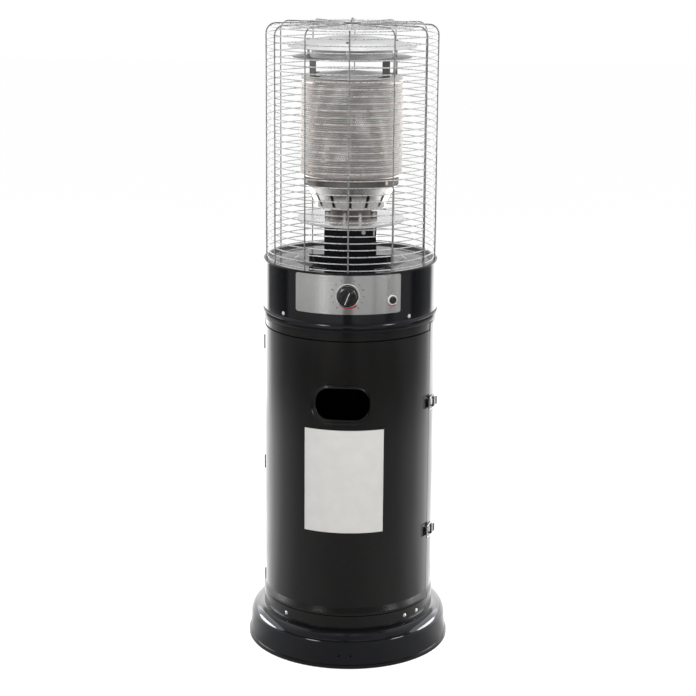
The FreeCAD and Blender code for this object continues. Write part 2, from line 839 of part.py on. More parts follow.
def make_controls():
    """Gas valve with its turning plug, stem and knob, and the igniter with its button."""
    plug_inner = valve_face - valve_plug_depth
    plug_outer = valve_face + valve_plug_reach
    valve = slab(-valve_half_width, valve_half_width, valve_back, valve_face,
                 knob_level - valve_half_height, knob_level + valve_half_height)
    bracket = slab(-valve_half_width, valve_half_width, valve_face - sheet, drum_inner,
                   knob_level + valve_half_height, knob_level + valve_half_height + sheet)
    bracket = bracket.common(Part.makeCylinder(drum_inner, housing_top))
    plug_bore = peg(valve_plug_radius + running_clearance, plug_inner, plug_outer, z=knob_level)
    save("gas_valve", valve.fuse(bracket).cut(plug_bore).removeSplitter())

    plug_start = plug_inner + face_gap
    stem_inner = plug_inner + knob_travel + knob_stop_gap
    stem_bore = peg(valve_stem_radius + running_clearance, plug_start + valve_plug_floor, plug_outer,
                    z=knob_level)
    plug = peg(valve_plug_radius, plug_start, plug_outer, z=knob_level)
    save("valve_plug", plug.cut(stem_bore))
    save("valve_stem", peg(valve_stem_radius, stem_inner, knob_back, z=knob_level))

    skirt = peg(knob_radius, knob_back, knob_back + knob_skirt_depth, z=knob_level)
    crown = Part.makeCone(knob_radius - knob_shoulder, knob_crown_radius, knob_depth - knob_skirt_depth,
                          Vector(0, -knob_back - knob_skirt_depth, knob_level), Vector(0, -1, 0))
    grip = slab(-knob_grip_width / 2, knob_grip_width / 2, knob_back + knob_skirt_depth,
                knob_back + knob_grip_depth, knob_level - knob_crown_radius, knob_level + knob_crown_radius)
    grip = grip.common(Part.makeCone(knob_radius, knob_crown_radius - knob_grip_taper, knob_grip_depth,
                                     Vector(0, -knob_back, knob_level), Vector(0, -1, 0)))
    grip.rotate(Vector(0, 0, knob_level), Vector(0, -1, 0), -knob_pointer_angle)
    save("control_knob", skirt.fuse([crown, grip]).removeSplitter())

    flange_face = control_face + igniter_flange_sheet
    body_outer = drum_inner - igniter_flange_sheet
    body_inner_end = body_outer - igniter_body_length
    igniter = peg(igniter_flange_radius, drum_inner, flange_face, z=button_level)
    igniter = igniter.cut(Part.makeCylinder(control_face, housing_top))
    igniter = igniter.fuse([
        peg(igniter_neck_radius, body_inner_end, flange_face, z=button_level),
        peg(igniter_body_radius, body_inner_end, body_outer, z=button_level),
    ])
    button_bottom = flange_face + button_depth - button_length
    bore_end = button_bottom - button_travel - button_stop_gap
    bore = peg(button_radius + running_clearance, bore_end, flange_face, z=button_level)
    save("igniter_body", turned(igniter.cut(bore).removeSplitter(), button_azimuth))
    button = peg(button_radius, button_bottom, flange_face + button_depth, z=button_level)
    save("igniter_button", turned(button, button_azimuth))


# Gas path

def make_gas_path():
    """Inlet fitting, supply pipe, orifice, venturi and tilt switch."""
    inlet_place = Vector(0, -valve_back - valve_depth / 2, 0)
    hex_top = knob_level - valve_half_height
    hex_bottom = hex_top - inlet_hex_length
    inlet = regular_prism(inlet_hex_radius, HEXAGON, hex_bottom, hex_top)
    tail = Part.makeCylinder(hose_tail_radius, hose_tail_length, Vector(0, 0, hex_bottom - hose_tail_length))
    inlet = inlet.fuse(tail)
    inlet.translate(inlet_place)
    save("gas_inlet_fitting", inlet.removeSplitter())

    pipe_level = knob_level - supply_pipe_drop
    bend_start = Vector(0, -supply_bend_radius, pipe_level)
    bend_end = Vector(0, 0, pipe_level + supply_bend_radius)
    bend_centre = (-supply_bend_radius, pipe_level + supply_bend_radius)
    middle = on_arc(bend_centre, supply_bend_radius, -QUARTER_MIDDLE)
    path = Part.Wire([
        Part.makeLine(Vector(0, -valve_back, pipe_level), bend_start),
        Part.Arc(bend_start, Vector(0, middle[0], middle[1]), bend_end).toShape(),
        Part.makeLine(bend_end, Vector(0, 0, orifice_bottom)),
    ])
    circle = Part.makeCircle(supply_pipe_radius, Vector(0, -valve_back, pipe_level), Vector(0, 1, 0))
    save("gas_supply_pipe", path.makePipeShell([Part.Wire(circle)], True, False))
    save("burner_orifice", regular_prism(orifice_radius, HEXAGON, orifice_bottom, orifice_top))

    venturi_inner = venturi_radius - venturi_wall
    venturi = revolved([
        (venturi_radius, orifice_top),
        (venturi_radius, disc_top),
        (venturi_inner, disc_top),
        (venturi_inner, orifice_top + venturi_wall),
        (supply_pipe_radius, orifice_top + venturi_wall),
        (supply_pipe_radius, orifice_top),
    ])
    window_bottom = plinth_top + venturi_window
    window = slab(-venturi_window / 2, venturi_window / 2, -venturi_radius - cut_margin,
                  venturi_radius + cut_margin, window_bottom, window_bottom + 2 * venturi_window)
    save("venturi_tube", venturi.cut(window))

    half = tilt_switch_size / 2
    switch = slab(-half, half, tilt_switch_circle - half, tilt_switch_circle + half,
                  floor_level + sheet, floor_level + sheet + tilt_switch_size)
    save("tilt_switch", turned(switch, tilt_switch_azimuth))


# Burner

def make_burner_stand():
    """Black plinth, the neck with its holes and the pale heat disc on top."""
    plinth = rounded_block(-plinth_half_width, plinth_half_width, -plinth_front, plinth_back,
                           plinth_corner, housing_top, plinth_top)
    hollow = rounded_block(sheet - plinth_half_width, plinth_half_width - sheet, sheet - plinth_front,
                           plinth_back - sheet, plinth_corner - sheet, housing_top, plinth_top - sheet)
    way = rod(top_plate_hole, housing_top, plinth_top)
    save("burner_plinth", plinth.cut(hollow).cut(way))

    neck = slab(-neck_half_width, neck_half_width, -neck_half_depth, neck_half_depth, plinth_top, neck_top)
    inner_width = neck_half_width - sheet
    inner_depth = neck_half_depth - sheet
    neck = neck.cut(slab(-inner_width, inner_width, -inner_depth, inner_depth, plinth_top, neck_top))
    reach = neck_half_depth + cut_margin
    neck = neck.cut(peg(neck_hole_radius, -reach, reach, neck_hole_side, neck_hole_level))
    neck = neck.cut(slab(neck_slot_side, neck_slot_side + neck_slot_width, -reach, reach,
                         neck_slot_bottom, neck_slot_top))
    save("burner_neck", neck)

    lip_radius = heat_disc_radius - sheet
    disc = revolved([
        (heat_disc_radius, disc_top),
        (heat_disc_radius, disc_top - heat_disc_lip),
        (lip_radius, disc_top - heat_disc_lip),
        (lip_radius, neck_top),
        (venturi_radius, neck_top),
        (venturi_radius, disc_top),
    ])
    save("burner_heat_disc", disc)


def make_burner():
    """Burner cup with its lugs, the slitted cone, the burner head and the pilot pieces."""
    cup = tube(burner_cup_radius, burner_cup_radius - sheet, disc_top, cone_foot_level)
    save("burner_cup", cup)
    lugs = []
    nuts = []
    for side in (-1, 1):
        span = sorted((side * burner_cup_radius, side * (burner_cup_radius + lug_reach)))
        lugs.append(slab(span[0], span[1], -lug_sheet / 2, lug_sheet / 2, disc_top, disc_top + lug_height))
        nut = regular_prism(lug_nut_radius, HEXAGON, 0, lug_nut_length)
        nut.rotate(ORIGIN, Vector(1, 0, 0), 90)
        nut.translate(Vector(side * lug_side, -lug_sheet / 2, disc_top + lug_height / 2))
        nuts.append(nut)
    save("burner_lugs", *lugs)
    save("burner_lug_nuts", *nuts)

    inner_foot_radius = cone_foot_radius - sheet
    inner_rim_radius = cone_rim_radius - cone_rim_width
    inner_foot_level = cone_foot_level + sheet
    cone = revolved([
        (cone_rim_radius, cone_rim_level),
        (cone_foot_radius, cone_foot_level),
        (burner_cup_radius - sheet, cone_foot_level),
        (burner_cup_radius - sheet, inner_foot_level),
        (inner_foot_radius, inner_foot_level),
        (inner_rim_radius, cone_rim_level),
    ])
    slit = slab(-cone_slit_width / 2, cone_slit_width / 2, burner_cup_radius, cone_rim_radius,
                cone_foot_level + cone_slit_foot, cone_foot_level + cone_slit_top)
    turn = 360.0 / cone_slit_count
    save("burner_cone", cone.cut(spread(slit, [turn * index for index in range(cone_slit_count)])))

    cone_slope = (inner_rim_radius - inner_foot_radius) / (cone_rim_level - inner_foot_level)
    head_level = inner_foot_level + (burner_head_radius - inner_foot_radius) / cone_slope
    head = Part.makeCylinder(burner_head_radius, burner_head_height, Vector(0, 0, head_level))
    save("burner_head", head)
    electrode = rod(electrode_radius, disc_top, head_level, electrode_offset, electrode_offset)
    save("ignition_electrode", electrode)
    save("thermocouple", electrode.mirror(ORIGIN, Vector(1, 0, 0)))


# Emitter and reflectors

def make_emitter():
    """Base ring, round emitter screen and its lid."""
    ring_inner = emitter_ring_radius - sheet
    ring = revolved([
        (emitter_ring_radius, cone_rim_level),
        (emitter_ring_radius, emitter_foot_level),
        (ring_inner, emitter_foot_level),
        (ring_inner, cone_rim_level + sheet),
        (emitter_ring_radius - emitter_ring_foot, cone_rim_level + sheet),
        (emitter_ring_radius - emitter_ring_foot, cone_rim_level),
    ])
    save("emitter_base_ring", ring)
    screws = radial_screws(emitter_screw_azimuths, emitter_ring_radius, cone_rim_level + emitter_screw_rise)
    save("emitter_ring_screws", *screws)

    screen = revolved([
        (emitter_rim_radius, emitter_foot_level),
        (emitter_radius, emitter_foot_level + emitter_taper),
        (emitter_radius, emitter_top_level - emitter_taper),
        (emitter_rim_radius, emitter_top_level),
        (emitter_rim_radius - emitter_sheet, emitter_top_level),
        (emitter_radius - emitter_sheet, emitter_top_level - emitter_taper),
        (emitter_radius - emitter_sheet, emitter_foot_level + emitter_taper),
        (emitter_rim_radius - emitter_sheet, emitter_foot_level),
    ])
    save("emitter_screen", screen)

    lid_top = lid_flat_level + emitter_lid_rise
    lid = revolved([
        (emitter_rim_radius, emitter_top_level),
        (emitter_rim_radius, lid_flat_level),
        (emitter_lid_flat, lid_flat_level),
        (emitter_lid_top, lid_top),
        (0, lid_top),
        (0, lid_top - sheet),
        (emitter_lid_top, lid_top - sheet),
        (emitter_lid_flat, emitter_top_level),
    ])
    save("emitter_lid", lid)


def make_reflectors():
    """Flat posts on the lid, the hat shaped lower reflector and the domed upper one."""
    half = reflector_post_width / 2
    strip = slab(-half, half, reflector_post_circle, reflector_post_circle + reflector_post_sheet,
                 lid_flat_level, lower_reflector_level)
    foot = slab(-half, half, reflector_post_circle - reflector_post_foot, reflector_post_circle,
                lid_flat_level, lid_flat_level + reflector_post_sheet)
    post = strip.fuse(foot).removeSplitter()
    save("reflector_posts", *spread(post, reflector_post_azimuths))

    brim_top = lower_reflector_level + sheet
    lower = revolved([
        (lower_reflector_radius, lower_reflector_level),
        (lower_reflector_radius, brim_top),
        (lower_crown_foot, brim_top),
        (lower_crown_radius, lower_crown_level),
        (0, lower_crown_level),
        (0, lower_crown_level - sheet),
        (lower_crown_radius - sheet, lower_crown_level - sheet),
        (lower_crown_foot - sheet, lower_reflector_level),
    ])
    save("lower_reflector", lower)

    dome_points = [
        (upper_reflector_radius, 0),
        (upper_reflector_ridge, upper_reflector_ridge_rise),
        (upper_reflector_crown, upper_reflector_crown_rise),
        (0, upper_reflector_rise),
    ]
    outer = [(r, upper_reflector_level + rise) for r, rise in dome_points]
    inner = [(r, level - sheet) for r, level in reversed(outer)]
    save("upper_reflector", revolved(outer + inner))

    slope = (upper_reflector_crown_rise - upper_reflector_ridge_rise) / (
        upper_reflector_ridge - upper_reflector_crown)
    dome_level = upper_reflector_level + upper_reflector_ridge_rise + slope * (
        upper_reflector_ridge - reflector_spacer_circle)
    spacer = rod(reflector_spacer_radius, brim_top, dome_level, r=reflector_spacer_circle)
    above = revolved(inner + [(upper_reflector_radius, dome_level + upper_reflector_rise)])
    save("reflector_spacers", *spread(spacer.cut(above), reflector_spacer_azimuths))
    head_level = dome_level + slope * screw_shank_radius
    screws = standing_screws(reflector_spacer_azimuths, reflector_spacer_circle, head_level)
    save("reflector_screws", *screws)


# Wire guard

def guard_hoop(radius, level):
    """One level hoop of the guard, drawn as a ring of straight runs."""
    outer = regular_prism(radius + guard_ring_wire, guard_ring_sides, level - guard_ring_wire,
                          level + guard_ring_wire)
    inner = regular_prism(radius - guard_ring_wire, guard_ring_sides, level - guard_ring_wire,
                          level + guard_ring_wire)
    return outer.cut(inner)


def make_guard():
    """Round wire guard: uprights that bend in to a hub, hoops inside them and rings on top."""
    bend_start = Vector(0, -guard_radius, guard_top_level - guard_bend_radius)
    bend_end = Vector(0, guard_bend_radius - guard_radius, guard_top_level)
    centre = (guard_bend_radius - guard_radius, guard_top_level - guard_bend_radius)
    middle = on_arc(centre, guard_bend_radius, 180 - QUARTER_MIDDLE)
    hub_end = Vector(0, -guard_wire_end, guard_top_level)
    path = Part.Wire([
        Part.makeLine(Vector(0, -guard_radius, housing_top), bend_start),
        Part.Arc(bend_start, Vector(0, middle[0], middle[1]), bend_end).toShape(),
        Part.makeLine(bend_end, hub_end),
    ])
    section = regular_face(guard_upright_radius, guard_upright_sides, housing_top).OuterWire
    section.translate(Vector(0, -guard_radius, 0))
    upright = path.makePipeShell([section], True, False)
    turn = 360.0 / guard_upright_count
    save("guard_uprights", *spread(upright, [turn * index for index in range(guard_upright_count)]))

    wire_offset = guard_upright_radius + guard_ring_wire - guard_weld_depth
    hoop_bend_radius = guard_bend_radius - wire_offset
    hoops = []
    for index in range(guard_ring_count):
        level = housing_top + guard_first_ring + guard_ring_pitch * index
        above_bend = max(0.0, level - centre[1])
        reach = math.sqrt(hoop_bend_radius ** 2 - above_bend ** 2)
        hoops.append(guard_hoop(guard_radius - guard_bend_radius + reach, level))
    save("guard_hoops", *hoops)

    top_ring_level = guard_top_level - wire_offset
    top_rings = []
    for index in range(guard_top_ring_count):
        radius = guard_radius - guard_top_ring_inset - guard_top_ring_pitch * index
        top_rings.append(guard_hoop(radius, top_ring_level))
    save("guard_top_rings", *top_rings)

    hub_bottom = guard_top_level + guard_upright_radius
    hub_top = hub_bottom + guard_hub_sheet
    hub_hole = guard_hub_screw_radius + running_clearance
    save("guard_hub_plate", tube(guard_hub_radius, hub_hole, hub_bottom, hub_top))
    shank = rod(guard_hub_screw_radius, top_ring_level, hub_top)
    head_top = hub_top + guard_hub_head_height
    head = regular_prism(guard_hub_head_radius, HEXAGON, hub_top, head_top)
    finial = rod(finial_radius, head_top, finial_top)
    save("guard_hub_screw", shank.fuse([head, finial]).removeSplitter())


os.makedirs("parts", exist_ok=True)
make_base()
make_body()
make_door()
make_hinges()
make_latches()
make_housing()
make_controls()
make_gas_path()
make_burner_stand()
make_burner()
make_emitter()
make_reflectors()
make_guard()
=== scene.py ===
"""Looks of a cylinder patio heater, dressed over its packed construction model.

Metres. The origin is the centre of the base on the ground, +Z is up and the front faces -Y. Azimuth is
measured in degrees from the front, positive towards +X.
"""
import logging
import math
from dataclasses import dataclass, field
from enum import Enum
from typing import Iterable, Sequence

import bmesh
import bpy
from mathutils import Matrix, Vector


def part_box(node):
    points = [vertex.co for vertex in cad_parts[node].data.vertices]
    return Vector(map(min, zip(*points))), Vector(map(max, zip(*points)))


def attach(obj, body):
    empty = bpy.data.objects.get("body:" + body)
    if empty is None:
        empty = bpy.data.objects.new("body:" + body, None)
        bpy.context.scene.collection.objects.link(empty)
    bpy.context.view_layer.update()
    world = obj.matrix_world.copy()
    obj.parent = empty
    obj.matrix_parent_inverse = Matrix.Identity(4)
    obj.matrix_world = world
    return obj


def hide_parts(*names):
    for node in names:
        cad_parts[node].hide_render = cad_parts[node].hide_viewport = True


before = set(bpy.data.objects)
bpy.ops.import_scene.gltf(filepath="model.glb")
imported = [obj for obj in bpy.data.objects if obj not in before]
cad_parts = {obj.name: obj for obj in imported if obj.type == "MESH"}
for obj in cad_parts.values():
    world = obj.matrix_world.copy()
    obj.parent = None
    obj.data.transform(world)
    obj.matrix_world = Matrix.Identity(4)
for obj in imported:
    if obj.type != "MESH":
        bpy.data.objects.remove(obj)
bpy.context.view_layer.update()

LOG = logging.getLogger("patio_heater")
MM = 0.001
HEATER = "heater"
MERGE = 0.01 * MM
SQUARE = ((-1, -1), (1, -1), (1, 1), (-1, 1))

Colour = tuple[float, float, float]
Corners = list[bmesh.types.BMVert]
Keys = tuple[tuple[float, float], ...]
Rings = tuple[tuple[float, float, float], ...]
Socket = bpy.types.NodeSocket


class Grain(Enum):
    """Direction of the fine lines in a metal's surface, as the scale of its noise along X, Y and Z."""

    NONE = (260.0, 260.0, 260.0)
    AROUND = (5.0, 5.0, 2600.0)
    UPRIGHT = (900.0, 900.0, 7.0)


class Bench:
    """Puts together the shader nodes of one material or world."""

    NOISE_LOW = 0.3
    NOISE_HIGH = 0.7

    def __init__(self, owner: bpy.types.ID) -> None:
        """Start with an empty tree.

        Args:
            owner: The material or world.
        """
        self.owner = owner
        owner.use_nodes = True
        self.tree = owner.node_tree
        self.tree.nodes.clear()
        kind = "World" if isinstance(owner, bpy.types.World) else "Material"
        self.output = self.add("Output" + kind, {})

    def add(self, kind: str, inputs: dict, **settings: object) -> bpy.types.Node:
        """Add a node.

        Args:
            kind: Type of the node, without the words shader node.
            inputs: Value or source socket of each input, by its name or number.
            **settings: Properties of the node.

        Returns:
            The new node.
        """
        node = self.tree.nodes.new("ShaderNode" + kind)
        for key, value in settings.items():
            setattr(node, key, value)
        for key, value in inputs.items():
            if isinstance(value, Socket):
                self.tree.links.new(value, node.inputs[key])
            else:
                node.inputs[key].default_value = value
        return node

    def place(self, scale: Sequence[float]) -> Socket:
        """Object coordinates stretched by a scale along X, Y and Z."""
        here = self.add("TexCoord", {}).outputs["Object"]
        return self.add("Mapping", {"Vector": here, "Scale": tuple(scale)}).outputs["Vector"]

    def noise(self, scale: Sequence[float], detail: float = 3.0) -> Socket:
        """Noise around one half, in object space, with its scale and how many finer layers it has."""
        inputs = {"Vector": self.place(scale), "Scale": 1.0, "Detail": detail}
        return self.add("TexNoise", inputs).outputs["Fac"]

    def spread(self, value: Socket, low: float, high: float) -> Socket:
        """Bring noise from its usual range to a range of its own.

        Args:
            value: The noise.
            low: Result where the noise is low.
            high: Result where the noise is high.

        Returns:
            The new value.
        """
        inputs = {"Value": value, "From Min": self.NOISE_LOW, "From Max": self.NOISE_HIGH, "To Min": low,
                  "To Max": high}
        return self.add("MapRange", inputs).outputs["Result"]

    def between(self, factor: Socket, low: Colour, high: Colour) -> Socket:
        """Colour between two colours, the first where the factor is zero."""
        inputs = {"Factor": factor, "A": (*low, 1.0), "B": (*high, 1.0)}
        return self.add("Mix", inputs, data_type="RGBA").outputs["Result"]

    def bump(self, height: Socket, strength: float, depth: float) -> Socket:
        """Normal bent by a relief of a strength and a depth in metres."""
        return self.add("Bump", {"Height": height, "Strength": strength, "Distance": depth}).outputs["Normal"]

    def calculate(self, operation: str, first: Socket, second: object) -> Socket:
        """Result of one operation on two values, the second a socket or a number."""
        return self.add("Math", {0: first, 1: second}, operation=operation).outputs["Value"]

    def show(self, shader: Socket) -> bpy.types.ID:
        """Send a shader to the output and hand over the material or world."""
        self.tree.links.new(shader, self.output.inputs["Surface"])
        return self.owner

    def surface(self, inputs: dict) -> bpy.types.ID:
        """Finish the material with a surface shader that has these inputs."""
        return self.show(self.add("BsdfPrincipled", inputs).outputs["BSDF"])


@dataclass(frozen=True)
class Paint:
    """Sprayed and baked enamel on sheet steel."""

    name: str
    colour: Colour
    roughness: float
    unevenness: float
    orange_peel: float
    cloud_scale: Colour = (9.0, 9.0, 5.0)
    cloud_gain: float = 1.35
    smear_scale: Colour = (24.0, 24.0, 10.0)
    peel_scale: float = 420.0
    peel_depth: float = 0.2 * MM

    def material(self) -> bpy.types.ID:
        """Make the paint's material.

        Returns:
            The material.
        """
        bench = Bench(bpy.data.materials.new(self.name))
        lighter = tuple(part * self.cloud_gain for part in self.colour)
        clouds = bench.spread(bench.noise(self.cloud_scale), 0.0, 1.0)
        smears = bench.noise(self.smear_scale, 5.0)
        peel = bench.noise((self.peel_scale,) * 3, 2.0)
        return bench.surface({
            "Base Color": bench.between(clouds, self.colour, lighter),
            "Roughness": bench.spread(smears, self.roughness, self.roughness + self.unevenness),
            "Normal": bench.bump(peel, self.orange_peel, self.peel_depth),
        })


@dataclass(frozen=True)
class Metal:
    """Bare metal with its grain, its tarnish and the lines of its rolling or brushing."""

    name: str
    colour: Colour
    tarnish: Colour
    roughness: float
    unevenness: float
    grain: Grain = Grain.NONE
    relief: float = 0.1
    stain_scale: float = 20.0
    metallic: float = 1.0
    anisotropy: float = 0.0
    anisotropy_turn: float = 0.25
    line_depth: float = 0.08 * MM

    def material(self) -> bpy.types.ID:
        """Make the metal's material.

        Returns:
            The material.
        """
        bench = Bench(bpy.data.materials.new(self.name))
        stains = bench.spread(bench.noise((self.stain_scale,) * 3, 4.0), 0.0, 1.0)
        lines = bench.noise(self.grain.value, 4.0)
        inputs = {
            "Metallic": self.metallic,
            "Base Color": bench.between(stains, self.colour, self.tarnish),
            "Roughness": bench.spread(lines, self.roughness, self.roughness + self.unevenness),
            "Normal": bench.bump(lines, self.relief, self.line_depth),
        }
        if self.anisotropy:
            inputs["Tangent"] = bench.add("Tangent", {}, direction_type="RADIAL", axis="Z").outputs["Tangent"]
            inputs["Anisotropic"] = self.anisotropy
            inputs["Anisotropic Rotation"] = self.anisotropy_turn
        return bench.surface(inputs)


@dataclass(frozen=True)
class Spangle:
    """Galvanised steel with its crystal pattern."""

    name: str
    colour: Colour
    darker: Colour
    crystal_scale: float = 90.0
    smoothest: float = 0.28
    roughest: float = 0.46

    def material(self) -> bpy.types.ID:
        """Make the galvanised material.

        Returns:
            The material.
        """
        bench = Bench(bpy.data.materials.new(self.name))
        crystals = bench.add("TexVoronoi", {"Vector": bench.place((self.crystal_scale,) * 3), "Scale": 1.0})
        tones = bench.add("SeparateColor", {"Color": crystals.outputs["Color"]})
        return bench.surface({
            "Metallic": 1.0,
            "Base Color": bench.between(tones.outputs["Red"], self.colour, self.darker),
            "Roughness": bench.spread(tones.outputs["Green"], self.smoothest, self.roughest),
        })


@dataclass(frozen=True)
class Moulded:
    """Plastic, rubber, vinyl or print with a fine moulded grain."""

    name: str
    colour: Colour
    second: Colour
    roughness: float
    relief: float = 0.2
    unevenness: float = 0.12
    cloud_scale: float = 40.0
    grain_scale: float = 900.0
    grain_depth: float = 0.1 * MM

    def material(self) -> bpy.types.ID:
        """Make the moulded material.

        Returns:
            The material.
        """
        bench = Bench(bpy.data.materials.new(self.name))
        clouds = bench.spread(bench.noise((self.cloud_scale,) * 3, 4.0), 0.0, 1.0)
        grain = bench.noise((self.grain_scale,) * 3, 2.0)
        return bench.surface({
            "Base Color": bench.between(clouds, self.colour, self.second),
            "Roughness": bench.spread(clouds, self.roughness, self.roughness + self.unevenness),
            "Normal": bench.bump(grain, self.relief, self.grain_depth),
        })


class Finishes:
    """Every finish of the heater, made once each."""

    def __init__(self) -> None:
        """Make all materials."""
        kinds = (
            Paint("gloss_black_enamel", (0.0040, 0.0042, 0.0054), 0.07, 0.06, 0.03),
            Paint("satin_black_enamel", (0.0050, 0.0045, 0.0042), 0.19, 0.08, 0.06),
            Metal("polished_stainless", (0.66, 0.655, 0.645), (0.60, 0.59, 0.57), 0.10, 0.10, Grain.AROUND,
                  0.12),
            Metal("perforated_stainless", (0.66, 0.62, 0.59), (0.61, 0.565, 0.535), 0.17, 0.06, relief=0.03,
                  stain_scale=9.0),
            # Dark stainless: soot inside the emitter screen, and painted shade on the liner behind the cone's
            # slits.
            Metal("soot_and_shade_stainless", (0.10, 0.092, 0.085), (0.06, 0.055, 0.05), 0.45, 0.2, relief=0.2),
            Metal("heated_stainless", (0.76, 0.75, 0.735), (0.70, 0.68, 0.65), 0.12, 0.08, Grain.AROUND, 0.06,
                  8.0, 0.86),
            Metal("satin_aluminium", (0.68, 0.68, 0.685), (0.63, 0.63, 0.63), 0.42, 0.1, Grain.AROUND, 0.04,
                  6.0, 0.7),
            Metal("pale_aluminium", (0.80, 0.80, 0.80), (0.74, 0.74, 0.745), 0.40, 0.1, Grain.AROUND, 0.04,
                  6.0, 0.4),
            Metal("nickelled_steel", (0.80, 0.80, 0.795), (0.72, 0.72, 0.715), 0.16, 0.12, Grain.NONE, 0.05,
                  60.0, 0.6),
            # Lighter copy of the guard wire for the hoops and top rings; its extra paleness is painted sheen.
            Metal("sheen_pale_wire", (0.72, 0.72, 0.725), (0.60, 0.60, 0.605), 0.22, 0.14, Grain.NONE, 0.05,
                  60.0, 0.6),
            # Dark bare steel, much darker than the other metals, on the reflector posts and the cone louvres.
            Metal("dark_steel", (0.10, 0.095, 0.09), (0.065, 0.06, 0.06), 0.22, 0.14, Grain.UPRIGHT, 0.15),
            Metal("bronzed_steel", (0.25, 0.222, 0.205), (0.17, 0.15, 0.14), 0.12, 0.1, Grain.AROUND, 0.08),
            Metal("dark_zinc", (0.22, 0.22, 0.225), (0.12, 0.12, 0.125), 0.22, 0.14, relief=0.08),
            Metal("brushed_steel", (0.90, 0.895, 0.885), (0.85, 0.845, 0.835), 0.15, 0.05, Grain.AROUND, 0.06,
                  anisotropy=0.9),
            Metal("bright_zinc", (0.66, 0.665, 0.67), (0.56, 0.565, 0.57), 0.16, 0.14, relief=0.08),
            Metal("guard_wire", (0.52, 0.52, 0.525), (0.36, 0.36, 0.365), 0.16, 0.16, relief=0.05,
                  stain_scale=60.0),
            Metal("machined_brass", (0.72, 0.55, 0.27), (0.62, 0.45, 0.20), 0.22, 0.12),
            Metal("cast_iron", (0.10, 0.095, 0.09), (0.16, 0.13, 0.11), 0.5, 0.2, relief=0.8),
            Spangle("galvanised_steel", (0.56, 0.57, 0.58), (0.42, 0.43, 0.44)),
            Moulded("black_plastic", (0.011, 0.011, 0.011), (0.017, 0.017, 0.017), 0.24),
            Moulded("plain_vinyl", (0.60, 0.592, 0.572), (0.565, 0.557, 0.537), 0.42, 0.08),
            Moulded("white_plastic", (0.74, 0.735, 0.725), (0.70, 0.695, 0.685), 0.3, 0.05),
            Moulded("white_ceramic", (0.72, 0.70, 0.66), (0.62, 0.60, 0.56), 0.3),
            Moulded("white_print", (0.78, 0.78, 0.77), (0.72, 0.72, 0.71), 0.45, 0.0),
            Moulded("grey_print", (0.09, 0.09, 0.09), (0.13, 0.13, 0.13), 0.45, 0.0),
            Moulded("red_print", (0.37, 0.012, 0.028), (0.32, 0.010, 0.024), 0.45, 0.0),
        )
        self.made = {kind.name: kind.material() for kind in kinds}

    def on(self, obj: bpy.types.Object, name: str) -> None:
        """Give a piece one finish all over."""
        obj.data.materials.clear()
        obj.data.materials.append(self.made[name])


def around(azimuth: float, radius: float, height: float) -> Vector:
    """Point at an azimuth, a distance from the axis and a height above the ground."""
    angle = math.radians(azimuth)
    return Vector((radius * math.sin(angle), -radius * math.cos(angle), height))


